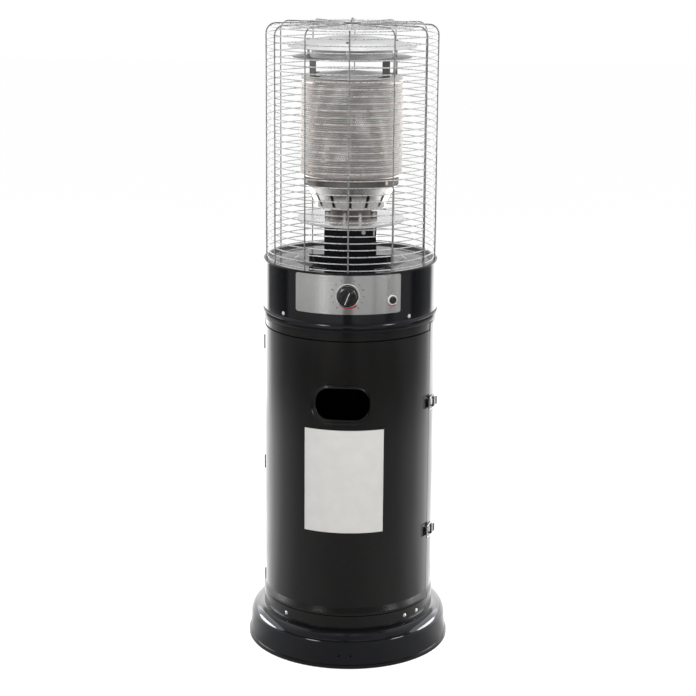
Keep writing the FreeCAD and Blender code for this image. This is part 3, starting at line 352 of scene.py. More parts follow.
class Form:
    """Mesh that is put together from rows of corners."""

    def __init__(self) -> None:
        """Start with no corners."""
        self.mesh = bmesh.new()

    def row(self, points: Iterable[Sequence[float]]) -> Corners:
        """Add one corner at each point."""
        return [self.mesh.verts.new(point) for point in points]

    def skin(self, rows: Sequence[Corners], closed: bool = True, endless: bool = False) -> None:
        """Join neighbouring rows with faces.

        Args:
            rows: Rows that all have the same number of corners.
            closed: True where each row's last corner joins its first.
            endless: True where the last row joins the first one.
        """
        pairs = list(zip(rows, rows[1:]))
        if endless:
            pairs.append((rows[-1], rows[0]))
        count = len(rows[0])
        for first, second in pairs:
            for index in range(count if closed else count - 1):
                nearby = (index + 1) % count
                self.mesh.faces.new((first[index], first[nearby], second[nearby], second[index]))

    def lathe(self, profile: Sequence[tuple[float, float]], steps: int = 96, closed: bool = True) -> None:
        """Add a ring turned round the heater's axis.

        Args:
            profile: Radius and height of each profile point.
            steps: Number of runs round the axis.
            closed: True where the profile's last point joins its first.
        """
        columns = []
        for step in range(steps):
            azimuth = 360.0 * step / steps
            columns.append(self.row(around(azimuth, radius, height) for radius, height in profile))
        self.skin(columns, closed, endless=True)

    def hoop(self, radius: float, height: float, wire: float, steps: int = 96, sides: int = 8) -> None:
        """Add a level hoop of round wire.

        Args:
            radius: Radius of the hoop.
            height: Its height.
            wire: Radius of the wire.
            steps: Number of runs round the hoop.
            sides: Number of faces round the wire.
        """
        profile = []
        for side in range(sides):
            turn = 2 * math.pi * side / sides
            profile.append((radius + wire * math.cos(turn), height + wire * math.sin(turn)))
        self.lathe(profile, steps)

    def tube(self, path: Sequence[Vector], radius: float, sides: int) -> None:
        """Add round wire with capped ends.

        Args:
            path: Points of the wire's centre line.
            radius: Radius of the wire.
            sides: Number of faces round the wire.
        """
        rings = []
        for index, point in enumerate(path):
            along = (path[min(index + 1, len(path) - 1)] - path[max(index - 1, 0)]).normalized()
            across = along.orthogonal() if not rings else across - along * across.dot(along)
            across = across.normalized()
            other = along.cross(across)
            turns = [2 * math.pi * side / sides for side in range(sides)]
            rings.append(self.row(point + (across * math.cos(turn) + other * math.sin(turn)) * radius
                                  for turn in turns))
        self.skin(rings)
        self.mesh.faces.new(rings[0])
        self.mesh.faces.new(rings[-1])

    def turned(self, origin: Vector, axis: Vector, profile: Rings, steps: int = 24) -> None:
        """Add a small turned form about any axis.

        Args:
            origin: Point on the axis at height zero.
            axis: Direction of the axis, of length one.
            profile: Radius and height in millimetres and depth of four lobes for each ring; radius zero is
                a point.
            steps: Number of runs round the axis.
        """
        side = axis.orthogonal().normalized()
        other = axis.cross(side)
        rings = []
        for radius, height, lobe in profile:
            ring = []
            for step in range(steps if radius else 1):
                turn = 2 * math.pi * step / steps
                reach = radius * MM * (1.0 + lobe * math.cos(4 * turn))
                ring.append(origin + axis * height * MM
                            + (side * math.cos(turn) + other * math.sin(turn)) * reach)
            rings.append(self.row(ring))
        for lower, upper in zip(rings, rings[1:]):
            for step in range(steps):
                corners = []
                for vert in (lower[step % len(lower)], lower[(step + 1) % len(lower)],
                             upper[(step + 1) % len(upper)], upper[step % len(upper)]):
                    if vert not in corners:
                        corners.append(vert)
                self.mesh.faces.new(corners)

    def finish(self, name: str) -> bpy.types.Object:
        """Turn the form into an object of the scene.

        Args:
            name: The object's name.

        Returns:
            The new object.
        """
        data = bpy.data.meshes.new(name)
        self.mesh.to_mesh(data)
        self.mesh.free()
        thing = bpy.data.objects.new(name, data)
        bpy.context.scene.collection.objects.link(thing)
        return thing


def separate_boxes(node: bpy.types.Object) -> list[tuple[Vector, Vector]]:
    """Lowest and highest corner of each separate solid of a node.

    Args:
        node: The construction node.

    Returns:
        One pair of corners for each solid.
    """
    mesh = bmesh.new()
    mesh.from_mesh(node.data)
    bmesh.ops.remove_doubles(mesh, verts=mesh.verts, dist=MERGE)
    left = set(mesh.verts)
    boxes = []
    while left:
        waiting = [left.pop()]
        low, high = waiting[0].co.copy(), waiting[0].co.copy()
        while waiting:
            vert = waiting.pop()
            for axis in range(3):
                low[axis] = min(low[axis], vert.co[axis])
                high[axis] = max(high[axis], vert.co[axis])
            for edge in vert.link_edges:
                other = edge.other_vert(vert)
                if other in left:
                    left.remove(other)
                    waiting.append(other)
        boxes.append((low, high))
    mesh.free()
    return sorted(boxes, key=lambda box: tuple(box[0]))


@dataclass
class Assembly:
    """Pieces that are built and dressed together."""

    finishes: Finishes

    def add_piece(self, name: str, form: Form, slot: str, finish: str, body: str = HEATER,
                  smooth: float = 40.0) -> bpy.types.Object:
        """Turn a finished form into a dressed piece that rides on a body.

        Args:
            name: The piece's name.
            form: Its shape.
            slot: Name of a material slot for the piece; not used.
            finish: Its finish.
            body: The construction body that it moves with.
            smooth: Faces that meet at less than this angle in degrees are shaded smooth.

        Returns:
            The new piece.
        """
        bmesh.ops.recalc_face_normals(form.mesh, faces=form.mesh.faces)
        piece = form.finish(name)
        piece.data.shade_smooth()
        piece.data.set_sharp_from_angle(angle=math.radians(smooth))
        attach(piece, body)
        self.finishes.on(piece, finish)
        LOG.info("built %s", name)
        return piece

    def thicken(self, piece: bpy.types.Object, thickness: float) -> bpy.types.Modifier:
        """Give an open sheet its thickness, behind its face.

        Args:
            piece: The sheet.
            thickness: Its thickness.

        Returns:
            The modifier that does it.
        """
        shell = piece.modifiers.new("sheet", "SOLIDIFY")
        shell.thickness = thickness
        shell.offset = -1.0
        return shell


@dataclass
class Dressing(Assembly):
    """Finish of every piece that keeps its construction shape."""

    groups: dict[str, tuple[str, ...]] = field(default_factory=lambda: {
        "gloss_black_enamel": ("base_shell", "housing_drum", "housing_top_plate", "burner_plinth",
                               "burner_neck"),
        "satin_black_enamel": ("lower_collar", "body_shell", "body_top_ring", "door_panel",
                               "door_hinge_leaves", "body_hinge_leaves", "hinge_pins", "door_catches",
                               # support_posts: their black is painted shade, which darkens the inside seen
                               # through the hand opening.
                               "support_posts", "base_edge_trim"),
        "galvanised_steel": ("bottle_platform", "housing_floor"),
        "bright_zinc": ("upper_latch_bail", "lower_latch_bail", "guard_hub_plate", "guard_hub_screw"),
        "nickelled_steel": ("burner_lug_nuts", "burner_heat_disc"),
        "dark_zinc": ("latch_bases", "upper_latch_lever", "lower_latch_lever"),
        "polished_stainless": ("reflector_spacers",),
        "bronzed_steel": ("emitter_base_ring", "burner_cup", "burner_lugs"),
        "dark_steel": ("reflector_posts",),
        "satin_aluminium": ("lower_reflector", "upper_reflector"),
        "pale_aluminium": ("emitter_lid",),
        "heated_stainless": ("burner_cone", "venturi_tube"),
        "brushed_steel": ("control_plate",),
        "machined_brass": ("gas_valve", "valve_plug", "valve_stem", "gas_inlet_fitting", "gas_supply_pipe",
                           "burner_orifice", "thermocouple"),
        "cast_iron": ("burner_head",),
        "black_plastic": ("control_knob", "igniter_button", "tilt_switch"),
        "white_plastic": ("igniter_body",),
        "plain_vinyl": ("door_blank_label",),
        "white_ceramic": ("ignition_electrode",),
    })
    rolled_edges: dict[str, float] = field(default_factory=lambda: {
        "base_shell": 3.0 * MM, "housing_drum": 0.9 * MM, "housing_top_plate": 1.2 * MM,
        "door_panel": 0.5 * MM, "body_shell": 0.5 * MM, "control_knob": 0.8 * MM, "lower_collar": 0.5 * MM,
        "burner_heat_disc": 0.8 * MM, "emitter_lid": 0.8 * MM, "upper_reflector": 0.5 * MM,
        "lower_reflector": 0.5 * MM,
    })
    rolled_angle: float = 28.0

    def build(self) -> None:
        """Give each group its finish and roll the sharp edges of pressed sheet."""
        for finish, names in self.groups.items():
            for name in names:
                self.finishes.on(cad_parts[name], finish)
            LOG.info("dressed %s", ", ".join(names))
        for name, width in self.rolled_edges.items():
            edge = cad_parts[name].modifiers.new("rolled_edge", "BEVEL")
            edge.width = width
            edge.segments = 3
            edge.limit_method = "ANGLE"
            edge.angle_limit = math.radians(self.rolled_angle)
            edge.harden_normals = True


@dataclass
class Guard(Assembly):
    """Welded wire guard: uprights that bend in to a hub, hoops and top rings."""

    upright_count: int = 12
    upright_sides: int = 10
    hoop_count: int = 35
    hoop_pitch: float = 14.3 * MM
    first_hoop: float = 4.2 * MM
    upright_wire: float = 1.5 * MM
    hoop_wire: float = 1.2 * MM
    upright_allowance: float = 0.3 * MM
    bend_radius: float = 22.0 * MM
    bend_steps: int = 10
    weld_depth: float = 0.3 * MM
    top_ring_count: int = 6
    top_ring_inset: float = 27.0 * MM
    top_ring_pitch: float = 24.5 * MM
    top_ring_steps: int = 72
    wire_end: float = 7.5 * MM
    wire_smooth: float = 60.0

    def __post_init__(self) -> None:
        """Take the guard's place from the frame."""
        low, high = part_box("guard_uprights")
        self.radius = high[0] - self.upright_wire - self.upright_allowance
        self.foot = low[2]
        self.top = high[2] - self.upright_wire - self.upright_allowance
        self.bend_centre = self.radius - self.bend_radius
        self.bend_foot = self.top - self.bend_radius

    def build(self) -> None:
        """Build and dress the guard."""
        form = Form()
        for index in range(self.upright_count):
            azimuth = 360.0 * index / self.upright_count
            path = [around(azimuth, self.radius, self.foot)]
            for step in range(self.bend_steps + 1):
                turn = math.pi / 2 * step / self.bend_steps
                reach = self.bend_centre + self.bend_radius * math.cos(turn)
                path.append(around(azimuth, reach, self.bend_foot + self.bend_radius * math.sin(turn)))
            path.append(around(azimuth, self.wire_end, self.top))
            form.tube(path, self.upright_wire, self.upright_sides)
        piece = self.add_piece("guard_upright_wires", form, "wire", "guard_wire", smooth=self.wire_smooth)
        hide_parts("guard_uprights")

        form = Form()
        reach = self.bend_radius - self.upright_wire - self.hoop_wire + self.weld_depth
        for index in range(self.hoop_count):
            height = self.foot + self.first_hoop + self.hoop_pitch * index
            rise = max(0.0, height - self.bend_foot)
            form.hoop(self.bend_centre + math.sqrt(reach ** 2 - rise ** 2), height, self.hoop_wire)
        # The hoops' paler wire is painted sheen on the same steel as the uprights.
        piece = self.add_piece("guard_hoop_wires", form, "wire", "sheen_pale_wire", smooth=self.wire_smooth)
        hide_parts("guard_hoops")

        form = Form()
        height = self.top - self.upright_wire - self.hoop_wire + self.weld_depth
        for index in range(self.top_ring_count):
            radius = self.radius - self.top_ring_inset - self.top_ring_pitch * index
            form.hoop(radius, height, self.hoop_wire, self.top_ring_steps)
        piece = self.add_piece("guard_top_ring_wires", form, "wire", "sheen_pale_wire", smooth=self.wire_smooth)
        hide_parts("guard_top_rings")


@dataclass
class Emitter(Assembly):
    """Round perforated screen with rolled plain bands at its foot and top."""

    columns: int = 132
    rows: int = 44
    hole_share: float = 0.60
    thickness: float = 0.8 * MM
    plain_band: float = 5.0 * MM
    band_steps: int = 10
    rim_inset: float = 7.0 * MM
    taper: float = 6.5 * MM
    weld: float = 0.02 * MM

    def __post_init__(self) -> None:
        """Take the screen's place from the frame."""
        low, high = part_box("emitter_screen")
        self.radius = high[0]
        self.foot = low[2]
        self.top = high[2]

    def shell_radius(self, height: float) -> float:
        """Radius of the screen at a height.

        Args:
            height: Height above the ground.

        Returns:
            The outer radius, drawn in along a quarter ellipse near both rims.
        """
        edge = min(height - self.foot, self.top - height)
        if edge >= self.taper:
            return self.radius
        share = 1.0 - max(0.0, edge) / self.taper
        return self.radius - self.rim_inset * (1.0 - math.sqrt(max(0.0, 1.0 - share ** 2)))

    def perforate(self, form: Form, low: float, pitch: float) -> None:
        """Add the staggered rows of holes.

        Args:
            form: Form to add to.
            low: Height of the lowest row's lower edge.
            pitch: Height of a row.
        """
        step = 360.0 / self.columns
        hole = self.hole_share * min(math.radians(step) * self.radius, pitch) / 2
        corners = ((-1, -1), (0, -1), (1, -1), (1, 0), (1, 1), (0, 1), (-1, 1), (-1, 0))
        for row in range(self.rows):
            level = low + pitch * (row + 0.5)
            for column in range(self.columns):
                middle = step * (column + 0.5 * (row % 2))
                outer = []
                inner = []
                for side, up in corners:
                    outer.append(around(middle + side * step / 2, self.radius, level + up * pitch / 2))
                    angle = math.atan2(up, side)
                    shift = math.degrees(hole * math.cos(angle) / self.radius)
                    inner.append(around(middle + shift, self.radius, level + hole * math.sin(angle)))
                form.skin((form.row(outer), form.row(inner)))

    def build(self) -> None:
        """Build and dress the screen, bright outside and sooty inside."""
        form = Form()
        low = self.foot + self.taper + self.plain_band
        high = self.top - self.taper - self.plain_band
        self.perforate(form, low, (high - low) / self.rows)
        for start, end in ((self.foot, low), (high, self.top)):
            levels = [start + (end - start) * step / self.band_steps for step in range(self.band_steps + 1)]
            form.lathe([(self.shell_radius(level), level) for level in levels], 2 * self.columns, False)
        bmesh.ops.remove_doubles(form.mesh, verts=form.mesh.verts, dist=self.weld)
        piece = self.add_piece("emitter_perforated_screen", form, "stainless", "perforated_stainless")
        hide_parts("emitter_screen")
        piece.data.materials.append(self.finishes.made["soot_and_shade_stainless"])
        self.thicken(piece, self.thickness).material_offset = 1


@dataclass
class RolledShells(Assembly):
    """Rounded parts of the pressed shells: the housing's bead and rim, the hand opening's rim, the gasket."""

    bead_profile: Keys = (
        (188.6, 734.4), (190.2, 735.2), (190.75, 736.8), (190.8, 744.0), (190.66, 746.5), (190.3, 748.8),
        (189.7, 750.6), (188.9, 752.0), (188.0, 753.0), (187.2, 753.6), (186.9, 753.6))
    rim_profile: Keys = (
        (187.05, 855.5), (187.35, 857.2), (187.2, 858.3), (186.5, 859.0), (185.4, 859.2), (178.6, 859.1),
        (177.4, 858.8), (171.6, 855.9), (171.4, 855.4), (178.4, 858.55), (186.9, 858.5))
    roll_steps: int = 192
    roll_smooth: float = 50.0
    corner_steps: int = 10
    body_radius: float = 184.5 * MM
    opening_azimuth: float = -3.1
    opening_height: float = 578.0 * MM
    opening_half_width: float = 57.5 * MM
    opening_half_height: float = 34.5 * MM
    opening_corner: float = 30.0 * MM
    opening_overlap: float = 0.3 * MM
    lip_left: float = 10.0 * MM
    lip_right: float = 2.0 * MM
    lip_top: float = 10.5 * MM
    lip_corner: float = 37.0 * MM
    lip_sheet: float = 0.4 * MM
    lip_smooth: float = 70.0
    lip_profile: Keys = (
        (0.0, -0.05), (0.05, 0.2), (0.14, 1.3), (0.26, 2.8), (0.40, 3.5), (0.56, 3.1), (0.72, 2.1),
        (0.86, 1.5), (0.95, 1.8), (1.0, 3.0), (1.01, 4.6))
    seam_azimuth: float = 70.0
    seam_half_gap: float = 1.5 * MM
    gasket_play: float = 0.1 * MM
    gasket_depth: float = 0.25 * MM
    gasket_sheet: float = 0.3 * MM
    gasket_bevel: float = 0.2 * MM
    gasket_foot: float = 108.5 * MM
    gasket_top: float = 712.0 * MM

    def outline(self, left: float, right: float, half_height: float,
                corner: float) -> list[tuple[float, float]]:
        """Rounded rectangle round the hand opening.

        Args:
            left: Reach to the left of the opening's middle.
            right: Reach to the right.
            half_height: Half of its height.
            corner: Radius of its corners.

        Returns:
            Across and up of each point, the same number for every size.
        """
        centres = ((right - corner, half_height - corner), (corner - left, half_height - corner),
                   (corner - left, corner - half_height), (right - corner, corner - half_height))
        points = []
        for quarter, (across, up) in enumerate(centres):
            for step in range(self.corner_steps + 1):
                turn = math.pi / 2 * (quarter + step / self.corner_steps)
                points.append((across + corner * math.cos(turn), up + corner * math.sin(turn)))
        return points

    def build_opening_rim(self) -> None:
        """Build the softly pressed rim that lies in the recess round the hand opening."""
        half_width = self.opening_half_width
        half_height = self.opening_half_height
        inner = self.outline(half_width - self.opening_overlap, half_width - self.opening_overlap,
                             half_height - self.opening_overlap, self.opening_corner)
        outer = self.outline(half_width + self.lip_left, half_width + self.lip_right,
                             half_height + self.lip_top, self.lip_corner)
        form = Form()
        rings = []
        for share, depth in self.lip_profile:
            ring = []
            reach = self.body_radius - depth * MM
            for (near_x, near_z), (far_x, far_z) in zip(inner, outer):
                across = far_x + (near_x - far_x) * share
                up = far_z + (near_z - far_z) * share
                azimuth = math.degrees(math.asin(across / reach)) + self.opening_azimuth
                ring.append(around(azimuth, reach, self.opening_height + up))
            rings.append(form.row(ring))
        form.skin(rings)
        bmesh.ops.remove_doubles(form.mesh, verts=form.mesh.verts, dist=MERGE)
        piece = self.add_piece("hand_opening_rim", form, "satin_black_paint", "satin_black_enamel",
                               body="door", smooth=self.lip_smooth)
        self.thicken(piece, self.lip_sheet)

    def build_gasket(self) -> None:
        """Build the narrow strip that fills the seam at the latch side."""
        half_angle = math.degrees((self.seam_half_gap - self.gasket_play) / self.body_radius)
        outer = self.body_radius - self.gasket_depth
        inner = outer - self.gasket_sheet
        edge = outer - self.gasket_bevel
        section = ((0.0, inner), (0.0, edge), (0.25, outer), (0.75, outer), (1.0, edge), (1.0, inner))
        form = Form()
        rows = []
        for height in (self.gasket_foot, self.gasket_top):
            rows.append(form.row(around(self.seam_azimuth + half_angle * (2 * share - 1), radius, height)
                                 for share, radius in section))
            form.mesh.faces.new(rows[-1])
        form.skin(rows)
        self.add_piece("seam_gasket", form, "satin_black_paint", "satin_black_enamel")

    def build(self) -> None:
        """Build and dress the rounded parts."""
        rolls = (("housing_bead_roll", self.bead_profile), ("housing_rim_roll", self.rim_profile))
        for name, profile in rolls:
            form = Form()
            form.lathe([(radius * MM, height * MM) for radius, height in profile], self.roll_steps)
            self.add_piece(name, form, "gloss_black_paint", "gloss_black_enamel", smooth=self.roll_smooth)
        self.build_opening_rim()
        self.build_gasket()


@dataclass
class ScrewHeads(Assembly):
    """Pan head screws with washers and cross recesses, in place of the plain construction screws."""

    head_height: float = 2.2 * MM
    head_smooth: float = 35.0
    profile: Rings = (
        (0.0, -2.6, 0.0), (1.6, -2.6, 0.0), (1.6, 0.0, 0.0), (4.3, 0.0, 0.0), (4.4, 0.25, 0.0),
        (4.3, 0.5, 0.0), (3.6, 0.55, 0.0), (3.55, 1.0, 0.0), (3.2, 1.6, 0.0), (2.5, 2.0, 0.0),
        (1.7, 2.2, 0.0), (1.15, 2.15, 0.4), (0.9, 1.3, 0.45), (0.0, 1.0, 0.0))
    rows: tuple[tuple[str, bool, str], ...] = (
        ("collar_screws", False, "nickelled_steel"), ("housing_screws", False, "nickelled_steel"),
        ("emitter_ring_screws", False, "nickelled_steel"), ("top_plate_screws", True, "dark_zinc"),
        ("reflector_screws", True, "dark_zinc"))

    def seat(self, low: Vector, high: Vector, upright: bool) -> tuple[Vector, Vector]:
        """Place of a screw's washer and direction of its axis.

        Args:
            low: Lowest corner of the construction screw.
            high: Its highest corner.
            upright: True for a screw that points up, False for one that points away from the heater's axis.

        Returns:
            The middle of the washer's underside and the axis.
        """
        middle = (low + high) / 2
        if upright:
            return Vector((middle.x, middle.y, high.z - self.head_height)), Vector((0.0, 0.0, 1.0))
        axis = Vector((middle.x, middle.y, 0.0)).normalized()
        reach = max(Vector((x, y, 0.0)).dot(axis) for x in (low.x, high.x) for y in (low.y, high.y))
        corner = (high.z - low.z) * abs(axis.x * axis.y)
        seat = axis * (reach - corner - self.head_height)
        seat.z = middle.z
        return seat, axis

    def build(self) -> None:
        """Build each row of screws."""
        for name, upright, finish in self.rows:
            form = Form()
            for low, high in separate_boxes(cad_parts[name]):
                seat, axis = self.seat(low, high, upright)
                form.turned(seat, axis, self.profile)
            piece = self.add_piece(name.replace("screws", "screw_heads"), form, "screw_steel", finish,
                                   smooth=self.head_smooth)
            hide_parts(name)


@dataclass
class BurnerTrim(Assembly):
    """Pieces seen through and beside the burner's openings: painted-shade liner, louvres and the neck's
    sleeve.
    """

    foot_radius: float = 74.0 * MM
    rim_radius: float = 98.0 * MM
    foot_height: float = 971.2 * MM
    rim_height: float = 1019.2 * MM
    liner_gap: float = 4.0 * MM
    liner_sheet: float = 0.6 * MM
    liner_rise: float = 3.0 * MM
    liner_drop: float = 1.0 * MM
    slit_count: int = 14
    slit_foot: float = 4.6 * MM
    slit_top: float = 34.6 * MM
    slit_side: float = 2.9 * MM
    louvre_width: float = 1.8 * MM
    louvre_rise: float = 0.6 * MM
    louvre_end_rise: float = 0.2 * MM
    louvre_end: float = 3.0 * MM
    louvre_root: float = -0.6 * MM
    louvre_edge: float = -0.1 * MM
    sleeve_half_width: float = 53.5 * MM
    sleeve_half_depth: float = 36.0 * MM
    sleeve_sheet: float = 0.8 * MM
    sleeve_foot: float = 900.0 * MM
    sleeve_top: float = 940.0 * MM

    def cone_point(self, azimuth: float, across: float, rise: float, lift: float) -> Vector:
        """Point near the cone's outer face.

        Args:
            azimuth: Degrees from the front of the slit that it belongs to.
            across: Distance sideways from the slit's middle.
            rise: Height above the cone's foot.
            lift: Distance outwards from the cone's face.

        Returns:
            The point.
        """
        slope = (self.rim_radius - self.foot_radius) / (self.rim_height - self.foot_height)
        radius = self.foot_radius + slope * rise + lift
        return around(azimuth + math.degrees(across / radius), radius, self.foot_height + rise)

    def build_shade_liner(self) -> None:
        """Build the dark liner behind the cone's slits, a sheet of painted shade that darkens what shows
        through them.
        """
        foot = (self.foot_radius - self.liner_gap, self.foot_height + self.liner_rise)
        rim = (self.rim_radius - self.liner_gap, self.rim_height - self.liner_drop)
        form = Form()
        form.lathe([foot, rim, (rim[0] - self.liner_sheet, rim[1]), (foot[0] - self.liner_sheet, foot[1])])
        # The liner is painted shade: a dark sheet that stands for the shade inside the cone.
        self.add_piece("cone_shade_liner", form, "stainless", "soot_and_shade_stainless")

    def build_louvres(self) -> None:
        """Build the turned out edge at both sides of each slit."""
        near = self.slit_side - self.louvre_width / 2
        far = self.slit_side + self.louvre_width / 2
        levels = ((self.slit_foot, self.louvre_end_rise),
                  (self.slit_foot + self.louvre_end, self.louvre_rise),
                  (self.slit_top - self.louvre_end, self.louvre_rise),
                  (self.slit_top, self.louvre_end_rise))
        form = Form()
        for index in range(self.slit_count):
            azimuth = 360.0 * index / self.slit_count
            for side in (-1, 1):
                rows = []
                for rise, lift in levels:
                    section = ((near, self.louvre_root), (near, lift), (far, self.louvre_edge))
                    rows.append(form.row(self.cone_point(azimuth, side * across, rise, out)
                                         for across, out in section))
                form.skin(rows)
                form.mesh.faces.new(rows[0])
                form.mesh.faces.new(rows[-1])
        self.add_piece("cone_louvres", form, "stainless", "dark_steel")

    def build_sleeve(self) -> None:
        """Build the pale sleeve round the burner's neck."""
        form = Form()
        rings = []
        for height, inset in ((self.sleeve_foot, 0.0), (self.sleeve_top, 0.0),
                              (self.sleeve_top, self.sleeve_sheet), (self.sleeve_foot, self.sleeve_sheet)):
            half_width = self.sleeve_half_width - inset
            half_depth = self.sleeve_half_depth - inset
            rings.append(form.row((x * half_width, y * half_depth, height) for x, y in SQUARE))
        form.skin(rings, endless=True)
        self.add_piece("neck_heat_sleeve", form, "stainless", "white_plastic")

    def build(self) -> None:
        """Build and dress the trim."""
        self.build_shade_liner()
        self.build_louvres()
        self.build_sleeve()


@dataclass
class ControlPrint(Assembly):
    """Generic marks on the control plate, the bezels of knob and button, and the knob's pointer line."""

    knob_height: float = 813.5 * MM
    dial_radius: float = 31.5 * MM
    tick_count: int = 13
    tick_start: float = -140.0
    tick_end: float = 140.0
    tick_half_angle: float = 1.7
    long_tick: float = 5.0 * MM
    short_tick: float = 3.0 * MM
    ticks_per_long: int = 3
    print_depth: float = 0.08 * MM
    knob_sweep_angles: tuple[float, float] = (222.0, 138.0)
    knob_sweep_inner: tuple[float, float] = (25.2 * MM, 25.2 * MM)
    knob_sweep_outer: tuple[float, float] = (26.4 * MM, 29.8 * MM)
    button_sweep_angles: tuple[float, float] = (214.0, 146.0)
    button_sweep_inner: tuple[float, float] = (11.6 * MM, 11.6 * MM)
    button_sweep_outer: tuple[float, float] = (14.0 * MM, 14.0 * MM)
    button_azimuth: float = 29.4
    button_height: float = 800.5 * MM
    button_flange: float = 1.5 * MM
    bezel_sheet: float = 0.3 * MM
    knob_bezel_steps: int = 64
    button_bezel_steps: int = 40
    knob_bezel: Rings = (
        (24.6, 0.9, 0.0), (24.2, 1.3, 0.0), (23.4, 1.3, 0.0), (23.0, 0.9, 0.0), (23.0, -3.0, 0.0))
    button_bezel: Rings = (
        (8.4, -0.3, 0.0), (8.3, 0.5, 0.0), (7.9, 0.8, 0.0), (7.3, 0.8, 0.0), (7.1, 0.4, 0.0),
        (7.1, -0.3, 0.0))
    pointer_angle: float = 22.0
    pointer_half_width: float = 0.55 * MM
    pointer_half_length: float = 13.5 * MM
    pointer_height: float = 0.05 * MM
    pointer_depth: float = 1.0 * MM

    def __post_init__(self) -> None:
        """Take the faces of plate and knob from the frame."""
        self.face = -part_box("control_plate")[0][1]
        self.knob_face = -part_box("control_knob")[0][1]

    def patch(self, form: Form, outline: Sequence[tuple[float, float]]) -> None:
        """Add one printed patch that follows the curved plate.

        Args:
            form: Form to add to.
            outline: Distance along the plate from its middle, and height above the ground, of each corner.
        """
        rows = []
        for lift in (self.print_depth, 0.0):
            rows.append(form.row(around(math.degrees(across / self.face), self.face + lift, up)
                                 for across, up in outline))
        form.mesh.faces.new(rows[0])
        form.skin(rows)

    def arc_band(self, form: Form, centre: tuple[float, float], angles: tuple[float, float],
                 inner: tuple[float, float], outer: tuple[float, float], steps: int = 24) -> None:
        """Add a printed arc whose width may change along it.

        Args:
            form: Form to add to.
            centre: Across and up of the arc's centre.
            angles: First and last angle in degrees, from straight up, clockwise.
            inner: Inner radius at the first and at the last angle.
            outer: Outer radius at the first and at the last angle.
            steps: Number of runs along the arc.
        """
        for step in range(steps):
            outline = []
            for share, edges in ((step / steps, (inner, outer)), ((step + 1) / steps, (outer, inner))):
                angle = math.radians(angles[0] + (angles[1] - angles[0]) * share)
                for first, last in edges:
                    radius = first + (last - first) * share
                    across = centre[0] + radius * math.sin(angle)
                    outline.append((across, centre[1] + radius * math.cos(angle)))
            self.patch(form, outline)

    def build_marks(self) -> None:
        """Build the ticks round the knob and the red sweeps under knob and button."""
        dial = (0.0, self.knob_height)
        form = Form()
        for index in range(self.tick_count):
            angle = self.tick_start + (self.tick_end - self.tick_start) * index / (self.tick_count - 1)
            tick = self.short_tick if index % self.ticks_per_long else self.long_tick
            self.arc_band(form, dial, (angle - self.tick_half_angle, angle + self.tick_half_angle),
                          (self.dial_radius,) * 2, (self.dial_radius + tick,) * 2, steps=1)
        self.add_piece("dial_marks", form, "black_plastic", "grey_print")

        form = Form()
        button = (math.radians(self.button_azimuth) * self.face, self.button_height)
        self.arc_band(form, dial, self.knob_sweep_angles, self.knob_sweep_inner, self.knob_sweep_outer)
        self.arc_band(form, button, self.button_sweep_angles, self.button_sweep_inner,
                      self.button_sweep_outer)
        self.add_piece("heat_sweep_marks", form, "black_plastic", "red_print")

    def build_bezels(self) -> None:
        """Build the pale ring round the knob and the dark one round the button."""
        form = Form()
        middle = Vector((0.0, -self.face, self.knob_height))
        form.turned(middle, Vector((0.0, -1.0, 0.0)), self.knob_bezel, self.knob_bezel_steps)
        piece = self.add_piece("knob_bezel_ring", form, "brushed", "white_print")
        self.thicken(piece, self.bezel_sheet)

        form = Form()
        outward = around(self.button_azimuth, 1.0, 0.0)
        flange = outward * (self.face + self.button_flange)
        flange.z = self.button_height
        form.turned(flange, outward, self.button_bezel, self.button_bezel_steps)
        piece = self.add_piece("igniter_bezel", form, "black_plastic", "black_plastic")
        self.thicken(piece, self.bezel_sheet)

    def build_pointer(self) -> None:
        """Build the line on the knob, sunk into its face."""
        lean = math.radians(self.pointer_angle)
        corners = []
        for side, end in SQUARE:
            across = side * self.pointer_half_width
            along = end * self.pointer_half_length
            corners.append((across * math.cos(lean) + along * math.sin(lean),
                            self.knob_height - across * math.sin(lean) + along * math.cos(lean)))
        form = Form()
        rows = [form.row((x, depth - self.knob_face, z) for x, z in corners)
                for depth in (-self.pointer_height, self.pointer_depth)]
        form.mesh.faces.new(rows[0])
        form.skin(rows)
        self.add_piece("knob_pointer_line", form, "black_plastic", "white_print", body="knob")

    def build(self) -> None:
        """Build and dress the marks, the bezels and the line."""
        self.build_marks()
        self.build_bezels()
        self.build_pointer()


def blend(value: float, keys: Keys) -> float:
    """Smooth value between neighbouring keys.

    Args:
        value: Where to look, on the keys' own scale.
        keys: Positions in rising order, each with its result.

    Returns:
        The result, held level before the first key and after the last one.
    """
    for (start, low), (end, high) in zip(keys, keys[1:]):
        if value < end:
            share = max(0.0, (value - start) / (end - start))
            return low + (high - low) * share * share * (3 - 2 * share)
    return keys[-1][1]


